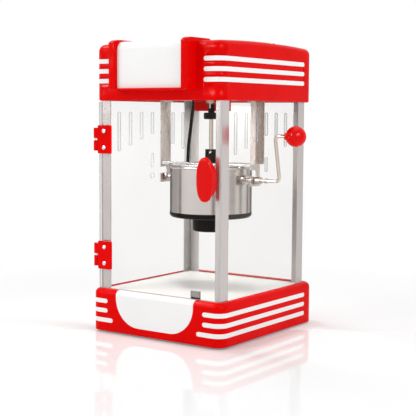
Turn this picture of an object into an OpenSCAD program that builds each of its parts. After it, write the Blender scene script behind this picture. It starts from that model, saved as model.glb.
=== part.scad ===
// Table-top kettle popcorn maker: red base and canopy, clear cabinet, tilting kettle with a stirrer.
// Millimetres. X to the right, Y to the back, Z up. The origin is the centre of the base's underside.

/* [Base] */
// Width of the base at its foot
base_w = 238; // [232:1:250]
// Depth of the base at its foot
base_d = 257; // [252:1:275]
// Height of the base above its underside
base_h = 62.5; // [58:0.5:70]
// Radius of the upright corners of the base
base_corner_r = 16; // [14:0.5:20]
// Radius of the rounded edge round the top of the base
base_edge_r = 8; // [5:0.5:9]
// Wall thickness of the red mouldings
wall = 2.5; // [2:0.1:3]
// Depth of the ledge that the floor stands on, below the top of the base
floor_drop = 4.5; // [4:0.5:6]
// Diameter of a rubber foot
foot_d = 16; // [12:1:20]
// Height of a rubber foot below the underside
foot_h = 2.5; // [2:0.5:4]
// Thickness of the plate that closes the underside
bottom_t = 3; // [2.5:0.5:4]

/* [White trim] */
// Red left at each side of the white front panel
panel_side = 48.5; // [44:0.5:56]
// Radius of the front panel's lower corners
panel_r = 42; // [30:1:46]
// Height of the front panel's lower edge
panel_z = 10.5; // [8:0.5:16]
// Depth to which the white trim is let into the red
inlay = 1.2; // [0.8:0.1:1.6]
// How far the stripes stand proud of the red
stripe_proud = 0.3; // [0.2:0.1:0.6]
// Height of a stripe
stripe_h = 6.5; // [5:0.5:8]
// Distance from one stripe to the next
stripe_pitch = 14.4; // [12:0.2:15]
// Height of the lowest stripe's middle on the base
base_stripe_z = 16.4; // [14:0.2:18]
// Height of the lowest stripe's middle above the canopy's lower edge
cap_stripe_z = 28.6; // [24:0.2:30]

/* [Cabinet] */
// How far the base stands out beside the corner posts
inset_side = 10; // [8:0.5:12]
// How far the base stands out in front of the corner posts
inset_front = 12.1; // [11:0.1:15]
// How far the base stands out behind the corner posts
inset_back = 17.9; // [12:0.1:20]
// Height of the canopy's lower edge
cap_z = 343; // [330:1:360]
// Leg of an angle post
post_leg = 18.5; // [15:0.5:22]
// Leg of the right front post under the door's free edge
post_short_leg = 9.5; // [8:0.5:14]
// Sheet thickness of an angle post
post_t = 1.4; // [1:0.1:2]
// Thickness of the clear side and rear panels
pane_t = 2.5; // [2:0.1:3]
// Width of a vent slot
slot_w = 5.5; // [4:0.5:8]
// Distance from one vent slot to the next
slot_pitch = 27.2; // [24:0.2:28]
// How far the vent slots end below the canopy's lower edge
slot_drop = 16; // [10:1:24]
// Length of the middle vent slot
slot_mid_len = 34; // [25:1:45]
// Length that each slot gains on the one nearer the middle
slot_gain = 8.7; // [4:0.1:10]

/* [Door] */
// Thickness of the clear door
door_t = 4; // [3:0.5:5]
// Gap between the posts and the door
door_gap = 0.6; // [0.4:0.1:1]
// Gap above and below the door
door_end_gap = 1; // [0.8:0.1:2]
// Radius of a hinge barrel
barrel_r = 5; // [4.5:0.1:6]
// Radius of a hinge pin
hinge_pin_r = 1.5; // [1.2:0.1:2]
// Height of a hinge leaf
leaf_h = 42; // [36:1:50]
// Width of a hinge leaf on the door
leaf_w = 25; // [20:1:30]
// Thickness of a hinge leaf
leaf_t = 3; // [2.5:0.1:4]
// Distance of the lower hinge's middle from the door's lower edge
hinge_low = 49.5; // [40:0.5:60]
// Distance of the upper hinge's middle from the door's upper edge
hinge_high = 55.5; // [40:0.5:60]
// Half the width of the oval door handle
grip_half_w = 13.5; // [11:0.5:16]
// Half the height of the oval door handle
grip_half_h = 31; // [26:0.5:36]
// Distance of the door handle's middle below the canopy
grip_drop = 109; // [90:1:130]
// Distance of the door handle's middle from the door's free edge
grip_in = 17; // [15:0.5:24]

/* [Canopy] */
// How far the canopy stands out beside the corner posts
cap_over_side = 5; // [4:0.5:9]
// How far the canopy stands out in front of the corner posts
cap_over_front = 7.6; // [7:0.1:12]
// How far the canopy stands out behind the corner posts
cap_over_back = 15.4; // [8:0.1:18]
// Height of the canopy's moulding
cap_h = 82; // [74:1:92]
// Radius of the canopy's upright corners
cap_corner_r = 15; // [13:0.5:18]
// Radius of the rounded edge round the canopy's roof
cap_edge_r = 10; // [7:0.5:11]
// Radius of the rounded edge round the canopy's lower rim
cap_rim_r = 3; // [2:0.5:4]
// Distance of the sign's red cheeks from the canopy's sides
sign_side = 43; // [38:0.5:54]
// Width of a cheek of the sign
cheek_w = 12; // [9:0.5:15]
// How far the sign stands in front of the canopy
sign_out = 20.5; // [16:0.5:24]
// Length of the sign from front to back
sign_len = 57; // [50:1:64]
// Height of the sign's lower edge above the canopy's lower edge
sign_low = 14; // [12:0.5:20]
// Height of the sign above the canopy's roof
sign_rise = 5; // [4:0.5:8]
// Thickness of the white sign
sign_t = 2.5; // [2:0.1:3]

/* [Kettle] */
// Mean room between the kettle's wall and a hanger's sheet
kettle_room = 21; // [20:0.5:25]
// Height of the kettle's steel wall
kettle_h = 70; // [64:1:76]
// Distance of the tilting axis below the canopy's lower edge
pivot_drop = 116.5; // [113:0.5:119]
// Height of the kettle's rim above the tilting axis
rim_rise = 19.5; // [18:0.5:22]
// How far the kettle hangs to the right of the hangers' middle
kettle_off = 4; // [2:0.5:5]
// Y of the kettle's middle, over which the motor hangs
kettle_y = 4.2; // [2:0.2:8]
// Sheet thickness of the kettle
kettle_t = 1.5; // [1.2:0.1:2]
// Radius of the kettle's axle
axle_r = 3; // [2.5:0.1:3.5]
// Radius of the crank's rod
crank_r = 2.6; // [2:0.1:3]
// Length of the crank's arm
crank_arm = 68; // [55:1:70]
// Forward lean of the crank's arm, in degrees
crank_lean = 12; // [0:1:20]
// Radius of the ball knob
ball_r = 15; // [12:0.5:16]
// Distance of the ball knob's middle from the crank's arm
ball_out = 34.5; // [30:0.5:40]
// Depth of the black heater ring
heater_h = 8; // [7:0.5:12]
// Radius of the black heater housing below the ring
boss_r = 27.5; // [22:0.5:32]
// Depth of the heater housing
boss_h = 22; // [16:0.5:26]

/* [Stirrer drive] */
// Radius of the drive shaft
shaft_r = 3.2; // [2.8:0.1:3.6]
// Radius of the disc under the motor
disc_r = 11; // [9:0.5:13]
// Distance of the disc's middle below the ceiling
disc_drop = 24.4; // [22:0.2:27]
// Height of the slotted clamp hub above the lid bar
hub_h = 21; // [20:0.5:24]
// Radius of the clamp hub at its top
hub_r = 9; // [8:0.1:9.4]
// Thickness of the motor's driving tang
tang_t = 3; // [2.5:0.1:3.5]
// Depth to which the tang reaches into the shaft's neck
tang_in = 6; // [4:0.5:7]
// Room under the tang, so that the neck can tip away from it
tang_room = 1.5; // [1.4:0.1:2.5]

/* [Hangers] */
// Distance of the left hanger from the left panel
hanger_left_in = 25.1; // [21:0.1:27]
// Distance of the right hanger from the right panel
hanger_right_in = 18.1; // [15:0.1:20]
// Width of a hanger
hanger_w = 25; // [22:0.5:28]
// Sheet thickness of a hanger
hanger_t = 1.5; // [1.2:0.1:2]
// Length of a hanger below the tilting axis
hanger_foot = 8.5; // [8:0.5:12]

/* [Hidden] */
$fn = 48;

eps = 0.01;
run_fit = 0.06;        // radial clearance of a turning pin in its bore
seat = 0.2;            // clearance of a piece that is dropped into its seat
air = 0.3;             // gap between pieces that move past each other
big = 400;             // longer than any piece, for cutting blocks

// heights that stack up
ledge_z = base_h - floor_drop;
roof_z = cap_z + cap_h;
rim_flange = 3;        // upward thickness of the canopy's inner flange
ceiling_z = cap_z + rim_flange;
ceiling_t = 1.5;

// cabinet faces
post_x = base_w / 2 - inset_side;
front_y = -base_d / 2 + inset_front;
back_y = base_d / 2 - inset_back;
cab_w = 2 * post_x;
cab_d = back_y - front_y;
cab_y = (front_y + back_y) / 2;
pane_x = post_x - post_t;              // outer face of a side panel
pane_back_y = back_y - post_t;         // outer face of the rear panel
slot_top_z = cap_z - slot_drop;

// canopy faces
cap_w = cab_w + 2 * cap_over_side;
cap_front_y = front_y - cap_over_front;
cap_back_y = back_y + cap_over_back;
cap_d = cap_back_y - cap_front_y;
cap_y = (cap_front_y + cap_back_y) / 2;

// white front panel
panel_half_w = base_w / 2 - panel_side;

// screw bosses
boss_pin_r = 4.5;
screw_r = 1.5;
screw_head_r = 3.2;
head_t = 1.6;
case_screw_len = 12;
boss_hole = case_screw_len + 2;        // depth of the hole in a boss

// door faces
door_back_y = front_y - door_gap;
door_front_y = door_back_y - door_t;
door_z0 = base_h + door_end_gap;
door_z1 = cap_z - 1.5 * door_end_gap;
hinge_low_z = door_z0 + hinge_low;
hinge_high_z = door_z1 - hinge_high;
grip_z = cap_z - grip_drop;
grip_x = post_x - grip_in;
axis_x = -post_x - barrel_r - 0.6;     // hinge axis
axis_y = door_back_y - door_t / 2;
leaf_x0 = axis_x + barrel_r + 0.5;     // leaf and door stay clear of the other barrel
knuckle_gap = 3.4;
knuckle_h = 15.3;
leaf_x1 = leaf_x0 + leaf_w;
leaf_screw_x = leaf_x0 + 12.5;
leaf_screw_z = 12.2;                   // screw above and below the leaf's middle

// kettle between its hangers
hanger_left_x = -(pane_x - pane_t - hanger_left_in);
hanger_right_x = pane_x - pane_t - hanger_right_in;
kettle_x = (hanger_left_x + hanger_right_x) / 2 + kettle_off;
kettle_r = (hanger_right_x - hanger_left_x) / 2 - kettle_room;

// The kettle's lead, in points of three numbers: how far out from the housing's wall (0) past the
// kettle's wall (1), the angle round the kettle, and the height
lead_top = [                           // heights above the ceiling's underside
    [1.12, 150, 6], [1.12, 150, -2], [1.14, 150, -10], [1.23, 150.5, -24], [1.35, 151, -46],
    [1.46, 152, -70], [1.53, 152, -94]
];
lead_end = [                           // heights above the housing's underside
    [1.56, 152, 82], [1.55, 151, 58], [1.47, 149, 38], [1.26, 146, 22], [0.94, 145, 12.5],
    [0.55, 145, 9], [0.25, 147, 8.4], [-0.03, 150, 8.2]
];
function lead_at(p, z) = let (out = boss_r + p[0] * (kettle_r - boss_r))
    [kettle_x + out * cos(p[1]), kettle_y + out * sin(p[1]), z + p[2]];
lead_hole = lead_at(lead_top[0], ceiling_z);

// kettle heights
pivot_z = cap_z - pivot_drop;
rim_z = pivot_z + rim_rise;
bead_r = 1.8;
pot_z = rim_z - kettle_h;
heater_z = pot_z - heater_h;
boss_z = heater_z - boss_h;
bar_w = 24;
bar_t = 4;
bar_top_z = rim_z + bar_t;
hub_z0 = bar_top_z + air;
hub_z1 = bar_top_z + hub_h;
split_w = 3.4;                         // saw cut that lets the hub clamp the shaft
split_z0 = hub_z1 - 7.5;
rod_r = 3;
rod_top_z = split_z0 - 2;              // the stirrer's rod ends here, and the shaft stands on it

// coupling under the motor
bush_r = 8.5;
bush_low = 5;                          // the bush reaches this far below the ceiling
neck_gap = 1.8;                        // the neck's rim tips past below the bush
neck_r = 5;
neck_z1 = ceiling_z - bush_low - neck_gap;
neck_z0 = neck_z1 - tang_in - tang_room;
tang_half_w = 4.5;
tang_over = 1.2;                       // the tang begins this far above the neck
dog_over = 0.7;                        // and the round shaft above it this far
disc_z = ceiling_z - disc_drop;
wheel_r = 18;                          // output wheel inside the gear motor
wheel_t = 5;
wheel_gap = 0.7;
pivot_len = 4;                         // end of the motor's shaft above its wheel
pot_gap_left = hanger_left_x + hanger_t / 2;
pot_gap_right = hanger_right_x - hanger_t / 2;

// lid hinges
lid_axis_y = bar_w / 2 + 3;
lid_axis_z = rim_z + 2.6;
lid_rod_r = 1.2;
curl_r = 2.2;
lid_t = 1;
lid_lip = 2.4;                         // height of a lid's outer lip
lid_rim_w = 14;                        // flat rim outside a lid's raised middle
lid_r = kettle_r + bead_r;
bar_curl_x = [14, 34];                 // middles of the bar's curls, on both sides
lid_curl_x = 24;                       // middle of a lid's curl, on both sides
curl_len = 8;

// rocker switch
switch_x = cap_w / 2 - 21;
switch_y = 30;
rocker_r = 8.4;
rocker_w = 12;
rocker_axis_z = roof_z - 0.5;
rocker_pin_r = 1.2;
rocker_flat = 3.2;                     // height of the rocker's ridge above its pivot
rocker_tilt = 8;

// sign
sign_half_w = cap_w / 2 - sign_side;
cheek_in = sign_half_w - cheek_w;
sign_front_y = cap_front_y - sign_out;
sign_top_z = roof_z + sign_rise;
sign_z0 = cap_z + sign_low;
sign_set = 6;                          // the white sign lies behind the cheeks' edges
sign_r = 12;
shelf_t = 3.5;

// ---- shapes that repeat ----

// Half of a box's outline: half width l, height h, rounded upper edge top_r, rounded lower edge rim_r
module wall_half(l, h, top_r, rim_r) {
    square([l - max(top_r, rim_r), h]);
    translate([0, rim_r]) square([l, h - top_r - rim_r]);
    translate([0, rim_r]) square([l - top_r, h - rim_r]);
    if (rim_r < top_r) square([l - rim_r, h - top_r]);
    intersection() {
        translate([l - top_r, h - top_r]) circle(top_r);
        translate([l - top_r, h - top_r]) square(top_r);
    }
    if (rim_r > 0) intersection() {
        translate([l - rim_r, rim_r]) circle(rim_r);
        translate([l - rim_r, 0]) square(rim_r);
    }
}

// Box with rounded corners and rounded top and bottom edges, standing on z = 0
module soft_box(w, d, h, r, top_r, rim_r) {
    for (x = [0, 1], y = [0, 1]) mirror([x, 0, 0]) mirror([0, y, 0])
        translate([w / 2 - r, d / 2 - r, 0]) rotate_extrude(angle = 90) wall_half(r, h, top_r, rim_r);
    for (m = [0, 1]) mirror([m, 0, 0]) rotate([90, 0, 0])
        translate([0, 0, -(d / 2 - r)]) linear_extrude(d - 2 * r) wall_half(w / 2, h, top_r, rim_r);
    for (m = [0, 1]) mirror([0, m, 0]) rotate([90, 0, 90])
        translate([0, 0, -(w / 2 - r)]) linear_extrude(w - 2 * r) wall_half(d / 2, h, top_r, rim_r);
}

// Rectangle with round corners, centred
module round_rect(w, d, r) {
    square([w - 2 * r, d], center = true);
    square([w, d - 2 * r], center = true);
    for (x = [-1, 1], y = [-1, 1]) translate([x * (w / 2 - r), y * (d / 2 - r)]) circle(r);
}

// Slot with round ends along Y of the plane
module stadium(w, len) {
    square([w, len - w], center = true);
    for (s = [-1, 1]) translate([0, s * (len - w) / 2]) circle(w / 2);
}

// Pan head screw along -Z: head above z = 0, thread below
module pan_screw(len, head = head_t) {
    rotate_extrude() {
        translate([0, -len]) square([screw_r, len]);
        square([screw_head_r - head * 0.6, head]);
        square([screw_head_r, head * 0.4]);
        intersection() {
            translate([screw_head_r - head * 0.6, head * 0.4]) circle(head * 0.6);
            square([screw_head_r, head]);
        }
    }
}

// Ellipse: half width a, half height b
module oval(a, b) {
    polygon([for (t = [0:5:355]) [a * cos(t), b * sin(t)]]);
}

module at_kettle(z = 0) {
    translate([kettle_x, kettle_y, z]) children();
}

// Cylinder along +X from x0 to x1 on the tilting axis
module tilt_pin(r, x0, x1) {
    translate([x0, kettle_y, pivot_z]) rotate([0, 90, 0]) cylinder(r = r, h = x1 - x0);
}

// ---- base ----

module base_outer(g = 0) {
    soft_box(base_w + 2 * g, base_d + 2 * g, base_h + g, base_corner_r + g, base_edge_r + g, 0);
}

// Slab that cuts one stripe: starts at x0 on the front, goes round the corner and ends at y1 on the side
module stripe_cutter(z, x0, y1, front, side) {
    translate([x0, front - 2, z - stripe_h / 2]) cube([side - x0 + 2, 22, stripe_h]);
    translate([side - 22, front - 2, z - stripe_h / 2]) cube([24, y1 - front + 2, stripe_h]);
    translate([x0, front + 20, z]) rotate([90, 0, 0]) cylinder(d = stripe_h, h = 22);
    translate([side - 22, y1, z]) rotate([0, 90, 0]) cylinder(d = stripe_h, h = 24);
}

base_stripe_x = [base_w / 2 - 39, base_w / 2 - 29, base_w / 2 - 29];   // where they begin, from the lowest up
module base_stripe_cutters() {
    for (m = [0, 1], i = [0:2]) mirror([m, 0, 0])
        stripe_cutter(base_stripe_z + i * stripe_pitch, base_stripe_x[i], base_d / 2 - 32,
            -base_d / 2, base_w / 2);
}

floor_w = cab_w + 1;                   // recess that takes the posts, the panels and the floor
floor_d = cab_d + 1;

module panel_cutter() {
    back = cab_y - floor_d / 2 - 1.5;
    translate([0, back, 0]) rotate([90, 0, 0]) linear_extrude(back + base_d / 2 + 2) {
        for (s = [-1, 1]) translate([s * (panel_half_w - panel_r), panel_z + panel_r]) circle(panel_r);
        translate([-(panel_half_w - panel_r), panel_z]) square([2 * (panel_half_w - panel_r), base_h]);
        translate([-panel_half_w, panel_z + panel_r]) square([2 * panel_half_w, base_h]);
    }
}

// The four corners of a rectangle round (0, y)
function corners(x, d, y = 0) = [for (sx = [-1, 1], sy = [-1, 1]) [sx * x, y + sy * d]];

base_boss = corners(base_w / 2 - 35, base_d / 2 - 38.5);
foot_at = corners(base_w / 2 - 23, base_d / 2 - 24.5);

module base_housing() {
    color("red") difference() {
        union() {
            difference() {
                base_outer();
                translate([0, 0, -1])
                    soft_box(base_w - 2 * wall, base_d - 2 * wall, ledge_z - wall + 1, base_corner_r - wall,
                        base_edge_r - wall, 0);
            }
            for (p = base_boss) translate([p[0], p[1], bottom_t])
                cylinder(r = boss_pin_r, h = ledge_z - wall - bottom_t + eps);
        }
        translate([0, cab_y, ledge_z]) linear_extrude(floor_drop + 1) round_rect(floor_w, floor_d, 2.5);
        difference() {
            union() {
                panel_cutter();
                base_stripe_cutters();
            }
            base_outer(-inlay);
        }
        for (p = base_boss) translate([p[0], p[1], bottom_t - eps]) cylinder(r = screw_r, h = boss_hole);
    }
}

module front_panel() {
    color("white") intersection() {
        panel_cutter();
        difference() {
            base_outer();
            base_outer(-inlay);
        }
    }
}

module base_stripes() {
    color("white") intersection() {
        base_stripe_cutters();
        difference() {
            base_outer(stripe_proud);
            base_outer(-inlay);
        }
    }
}

stud_r = 2.5;
foot_sink = 1.2;                       // the feet stand in shallow wells
head_sink = 1.8;                       // and the screw heads in deeper ones
vent_w = 4;
vent_len = 40;
vent_pitch = 14;
vent_y = 62;

module bottom_plate() {
    color("dimgray") difference() {
        linear_extrude(bottom_t)
            round_rect(base_w - 2 * (wall + seat), base_d - 2 * (wall + seat), base_corner_r - wall - seat);
        for (p = base_boss) translate([p[0], p[1], -1]) {
            cylinder(r = screw_r + 0.1, h = bottom_t + 2);
            cylinder(r = screw_head_r + seat, h = head_sink + 1);
        }
        for (p = foot_at) translate([p[0], p[1], -1]) {
            cylinder(r = stud_r, h = bottom_t + 2);
            cylinder(r = foot_d / 2 + seat, h = foot_sink + 1);
        }
        for (x = [-3:3], y = [-1, 1]) translate([x * vent_pitch, y * vent_y, -1])
            linear_extrude(bottom_t + 2) stadium(vent_w, vent_len);
    }
}

cap_boss = corners(cap_w / 2 - 24, cap_d / 2 - 36, cap_y);

// Eight screws: four close the base from below and four hold the canopy to its ceiling plate
module case_screws() {
    color("silver") {
        for (p = base_boss) translate([p[0], p[1], head_sink]) mirror([0, 0, 1]) pan_screw(case_screw_len);
        for (p = cap_boss) translate([p[0], p[1], ceiling_z]) mirror([0, 0, 1]) pan_screw(case_screw_len);
    }
}

module rubber_feet() {
    edge = 1;
    h = foot_h + foot_sink;
    color("black") for (p = foot_at) translate([p[0], p[1], -foot_h]) rotate_extrude() {
        square([foot_d / 2 - edge, h]);
        translate([0, edge]) square([foot_d / 2, h - edge]);
        intersection() {
            translate([foot_d / 2 - edge, edge]) circle(edge);
            square([foot_d, h]);
        }
        square([stud_r, foot_h + bottom_t + 1.5]);
    }
}

module floor_tray() {
    w = 2 * (pane_x - pane_t - air);
    y0 = front_y + post_t + seat;
    y1 = pane_back_y - pane_t - air;
    color("white") translate([0, (y0 + y1) / 2, ledge_z]) difference() {
        linear_extrude(floor_drop - 1) round_rect(w, y1 - y0, 2);
        translate([0, 0, 2.4]) linear_extrude(floor_drop) round_rect(w - 8, y1 - y0 - 8, 4);
    }
}

// ---- cabinet ----

// Angle post: outer corner at (0, 0), side leg along +Y, front leg along -X by its own length
module post(front_leg) {
    r = 1.2;
    translate([0, 0, ledge_z]) linear_extrude(ceiling_z - ledge_z) {
        translate([-post_t, r]) square([post_t, post_leg - r]);
        translate([-front_leg, 0]) square([front_leg - r, post_t]);
        translate([-post_t, r]) square([post_t - r, post_t - r]);
        intersection() {
            translate([-r, r]) circle(r);
            translate([-post_t, 0]) square(post_t);
        }
    }
}

module post_front_left() {
    color("silver") translate([-post_x, front_y, 0]) mirror([1, 0, 0]) post(post_leg);
}

module post_front_right() {
    color("silver") translate([post_x, front_y, 0]) post(post_short_leg);
}

module post_rear_left() {
    color("silver") translate([-post_x, back_y, 0]) mirror([1, 0, 0]) mirror([0, 1, 0]) post(post_leg);
}

module post_rear_right() {
    color("silver") translate([post_x, back_y, 0]) mirror([0, 1, 0]) post(post_leg);
}

crank_hole_r = 4.5;
short_slot = [pivot_z + 13.5, pivot_z + 35.5];   // the short slot above the crank's hole

module side_pane() {
    y0 = front_y + post_t + seat;
    y1 = pane_back_y - seat;
    difference() {
        translate([-pane_t, y0, ledge_z]) cube([pane_t, y1 - y0, ceiling_z - ledge_z - seat]);
        for (i = [-3:3]) {
            len = slot_mid_len + abs(i) * slot_gain;
            translate([-pane_t - 1, kettle_y + i * slot_pitch, slot_top_z - len / 2])
                rotate([90, 0, 90]) linear_extrude(pane_t + 2) stadium(slot_w, len);
        }
        translate([-pane_t - 1, kettle_y, (short_slot[0] + short_slot[1]) / 2])
            rotate([90, 0, 90]) linear_extrude(pane_t + 2) stadium(slot_w, short_slot[1] - short_slot[0]);
        translate([-pane_t - 1, kettle_y, pivot_z])
            rotate([0, 90, 0]) cylinder(r = crank_hole_r, h = pane_t + 2);
    }
}

module side_panel_right() {
    color([0.85, 0.87, 0.87, 0.3]) translate([pane_x, 0, 0]) side_pane();
}

module side_panel_left() {
    color([0.85, 0.87, 0.87, 0.3]) translate([-pane_x, 0, 0]) mirror([1, 0, 0]) side_pane();
}

module rear_panel() {
    half = pane_x - pane_t - seat;
    color([0.85, 0.87, 0.87, 0.3])
        translate([-half, pane_back_y - pane_t, ledge_z]) cube([2 * half, pane_t, ceiling_z - ledge_z - seat]);
}

lamp_in = 54.4;                        // distance of the lamp's middle from the posts' front
lamp_at = [-30, front_y + lamp_in];
lamp_hole_r = 17;
hanger_screw_y = 7;
lead_r = 2.6;

module ceiling_plate() {
    x1 = cap_w / 2 - wall - air;
    y0 = cap_front_y + wall + air;
    y1 = cap_y + cap_d / 2 - wall - air;
    color("gainsboro") difference() {
        translate([0, (y0 + y1) / 2, ceiling_z]) linear_extrude(ceiling_t)
            round_rect(2 * x1, y1 - y0, cap_corner_r - wall - air);
        at_kettle(ceiling_z - 1) cylinder(r = bush_r + 0.1, h = ceiling_t + 2);
        translate([lamp_at[0], lamp_at[1], ceiling_z - 1]) cylinder(r = lamp_hole_r, h = ceiling_t + 2);
        translate([lead_hole[0], lead_hole[1], ceiling_z - 1]) cylinder(r = lead_r + seat, h = ceiling_t + 2);
        for (p = cap_boss) translate([p[0], p[1], ceiling_z - 1])
            cylinder(r = screw_r + 0.1, h = ceiling_t + 2);
        for (x = hanger_tab_x, s = [-1, 1]) translate([x, kettle_y + s * hanger_screw_y, ceiling_z - 1])
            cylinder(r = screw_r, h = ceiling_t + 2);
    }
}

// ---- canopy ----

module cap_outer(g = 0) {
    translate([0, cap_y, cap_z - g])
        soft_box(cap_w + 2 * g, cap_d + 2 * g, cap_h + 2 * g, cap_corner_r + g, cap_edge_r + g, cap_rim_r + g);
}

cap_stripe_x = cap_w / 2 - 27;
module cap_stripe_cutters() {
    for (m = [0, 1], i = [0:2]) mirror([m, 0, 0]) translate([0, cap_y, 0])
        stripe_cutter(cap_z + cap_stripe_z + i * stripe_pitch, cap_stripe_x, cap_d / 2 - 30,
            -cap_d / 2, cap_w / 2);
}

// Side view of a cheek, y across and z up, with its own corner radii
module cheek_outline() {
    top_r = 14;
    low_r = 6;
    back_r = 5;
    h = sign_top_z - sign_z0;
    translate([low_r, 0]) square([sign_len - low_r - back_r, h - top_r]);
    translate([0, low_r]) square([sign_len, h - low_r - top_r]);
    translate([top_r, 0]) square([sign_len - top_r - back_r, h]);
    translate([low_r, low_r]) circle(low_r);
    translate([top_r, h - top_r]) circle(top_r);
    translate([sign_len - back_r, h - back_r]) circle(back_r);
    translate([sign_len - 2 * back_r, 0]) square([2 * back_r, h - back_r]);
}

module cheek() {
    translate([cheek_in, sign_front_y, sign_z0]) rotate([90, 0, 90]) linear_extrude(cheek_w) cheek_outline();
}

post_room = 1.2;                       // room round the posts in the canopy's lower opening
module cap_cavity() {
    translate([0, cap_y, ceiling_z])
        soft_box(cap_w - 2 * wall, cap_d - 2 * wall, cap_h - rim_flange - wall, cap_corner_r - wall,
            cap_edge_r - wall, 0);
    translate([0, cab_y, cap_z - 1]) linear_extrude(rim_flange + 2)
        round_rect(cab_w + 2 * post_room, cab_d + 2 * post_room, 2.5);
}

gland_z = cap_z + 29;
gland_r = 7;
gland_bore_r = 3.6;
gland_x = cap_w / 2 - 44;
switch_rim = 5;                        // the switch's housing is this much wider than its rocker

module canopy_shell() {
    color("red") difference() {
        union() {
            difference() {
                cap_outer();
                cap_cavity();
            }
            for (p = cap_boss) translate([p[0], p[1], ceiling_z + ceiling_t])
                cylinder(r = boss_pin_r, h = roof_z - wall - ceiling_z - ceiling_t + eps);
        }
        difference() {
            cap_stripe_cutters();
            cap_outer(-inlay);
        }
        for (p = cap_boss) translate([p[0], p[1], ceiling_z + ceiling_t - eps])
            cylinder(r = screw_r, h = boss_hole);
        translate([switch_x, switch_y, roof_z - wall - 1]) linear_extrude(wall + 2)
            round_rect(rocker_w + switch_rim, 2 * rocker_r + switch_rim, 1);
        translate([gland_x, cap_back_y - wall - 1, gland_z]) rotate([-90, 0, 0])
            cylinder(r = gland_r, h = wall + 2);
    }
}

module canopy_stripes() {
    color("white") intersection() {
        cap_stripe_cutters();
        difference() {
            cap_outer(stripe_proud);
            cap_outer(-inlay);
        }
    }
}

// Red frame of the sign: two cheeks and the shelf between them, shaped to the canopy's front and roof
module sign_frame() {
    color("red") difference() {
        union() {
            for (m = [0, 1]) mirror([m, 0, 0]) cheek();
            translate([-cheek_in - 1, sign_front_y + sign_set - sign_t, sign_z0])
                cube([2 * cheek_in + 2, sign_out, shelf_t]);
        }
        cap_outer();
    }
}

// The sign is one bent sheet: upright face, round bend and a flap that lies back on the roof
module sign_panel() {
    z0 = sign_z0 + shelf_t;
    z1 = roof_z + sign_t;
    y0 = sign_front_y + sign_set;
    y1 = sign_front_y + sign_len - 2;
    half = cheek_in - seat;
    color("white") translate([-half, 0, 0]) rotate([90, 0, 90]) linear_extrude(2 * half) {
        translate([y0, z0]) square([sign_t, z1 - sign_r - z0]);
        translate([y0 + sign_r, roof_z]) square([y1 - y0 - sign_r, sign_t]);
        intersection() {
            translate([y0 + sign_r, z1 - sign_r]) difference() {
                circle(sign_r);
                circle(sign_r - sign_t);
            }
            translate([y0, z1 - sign_r]) square(sign_r);
        }
    }
}

// Housing of the rocker switch: rim on the roof and a box below it
module switch_housing() {
    box_z = rocker_axis_z - rocker_r - 3;
    box_rim = switch_rim - 2 * seat;
    bezel_rim = switch_rim + 3;
    color("black") translate([switch_x, switch_y, 0]) difference() {
        union() {
            translate([0, 0, box_z]) linear_extrude(roof_z - box_z + eps)
                round_rect(rocker_w + box_rim, 2 * rocker_r + box_rim, 1);
            translate([0, 0, roof_z]) linear_extrude(1.6)
                round_rect(rocker_w + bezel_rim, 2 * rocker_r + bezel_rim, 2);
        }
        translate([0, 0, rocker_axis_z]) rotate([0, 90, 0])
            cylinder(r = rocker_r + air, h = rocker_w + 2 * air, center = true);
        translate([-rocker_w / 2 - air, -rocker_r - air, rocker_axis_z])
            cube([rocker_w + 2 * air, 2 * (rocker_r + air), rocker_r]);
        translate([0, 0, rocker_axis_z]) rotate([0, 90, 0])
            cylinder(r = rocker_pin_r + run_fit, h = rocker_w + 3, center = true);
    }
}

// The rocker is a drum whose top is cut to two flats that meet at a ridge
module switch_rocker() {
    color("black") translate([switch_x, switch_y, rocker_axis_z]) {
        rotate([0, 90, 0]) cylinder(r = rocker_pin_r, h = rocker_w + 2.6, center = true);
        rotate([rocker_tilt, 0, 0]) difference() {
            rotate([0, 90, 0]) cylinder(r = rocker_r, h = rocker_w, center = true);
            for (s = [0, 1]) translate([0, 0, rocker_flat]) mirror([0, s, 0]) rotate([rocker_tilt, 0, 0])
                translate([-rocker_w, 0, 0]) cube(2 * rocker_w);
        }
    }
}

module cord_gland() {
    flange_t = 2.5;
    nut_t = 2;
    color("black") translate([gland_x, cap_back_y, gland_z]) rotate([-90, 0, 0]) difference() {
        union() {
            cylinder(r = gland_r + 2, h = flange_t);
            translate([0, 0, -wall]) cylinder(r = gland_r, h = wall);
            translate([0, 0, -wall - nut_t]) cylinder(r = gland_r + 1.5, h = nut_t);
        }
        translate([0, 0, -wall - nut_t - 1]) cylinder(r = gland_bore_r, h = wall + nut_t + flange_t + 2);
    }
}

socket_r = 13;
socket_wall = 2;
socket_h = 24;
socket_top = 5;                        // thickness of the lamp socket's closed end
ear_w = 10;                            // the socket's ears lie on the ceiling plate
ear_len = 13;
ear_t = 2;
bulb_r = 8.5;

module lamp_socket() {
    color("ivory") translate([lamp_at[0], lamp_at[1], ceiling_z + ceiling_t]) difference() {
        union() {
            cylinder(r = socket_r, h = socket_h);
            translate([-socket_r - ear_len, -ear_w / 2, 0]) cube([2 * (socket_r + ear_len), ear_w, ear_t]);
        }
        translate([0, 0, -1]) cylinder(r = socket_r - socket_wall, h = socket_h - socket_top + 1);
    }
}

// Bulb with a round glass and a stepped cap that ends in the socket
module lamp_bulb() {
    neck = bulb_r - 2.5;
    cap_low = bulb_r + 5.5;
    cap_top = socket_h - socket_top - head_t + 1.1;
    color("lightyellow") translate([lamp_at[0], lamp_at[1], ceiling_z + head_t + 0.4]) rotate_extrude() {
        intersection() {
            translate([0, bulb_r + 0.5]) circle(bulb_r);
            square(3 * bulb_r);
        }
        translate([0, bulb_r]) square([neck, cap_top - bulb_r]);
        translate([0, cap_low]) square([bulb_r - 0.5, cap_top - cap_low]);
    }
}

// ---- door ----

grip_screw_z = 13;
grip_foot_w = 19;
grip_foot_h = 44;
grip_base_t = 8;
grip_front_t = 7;

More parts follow.
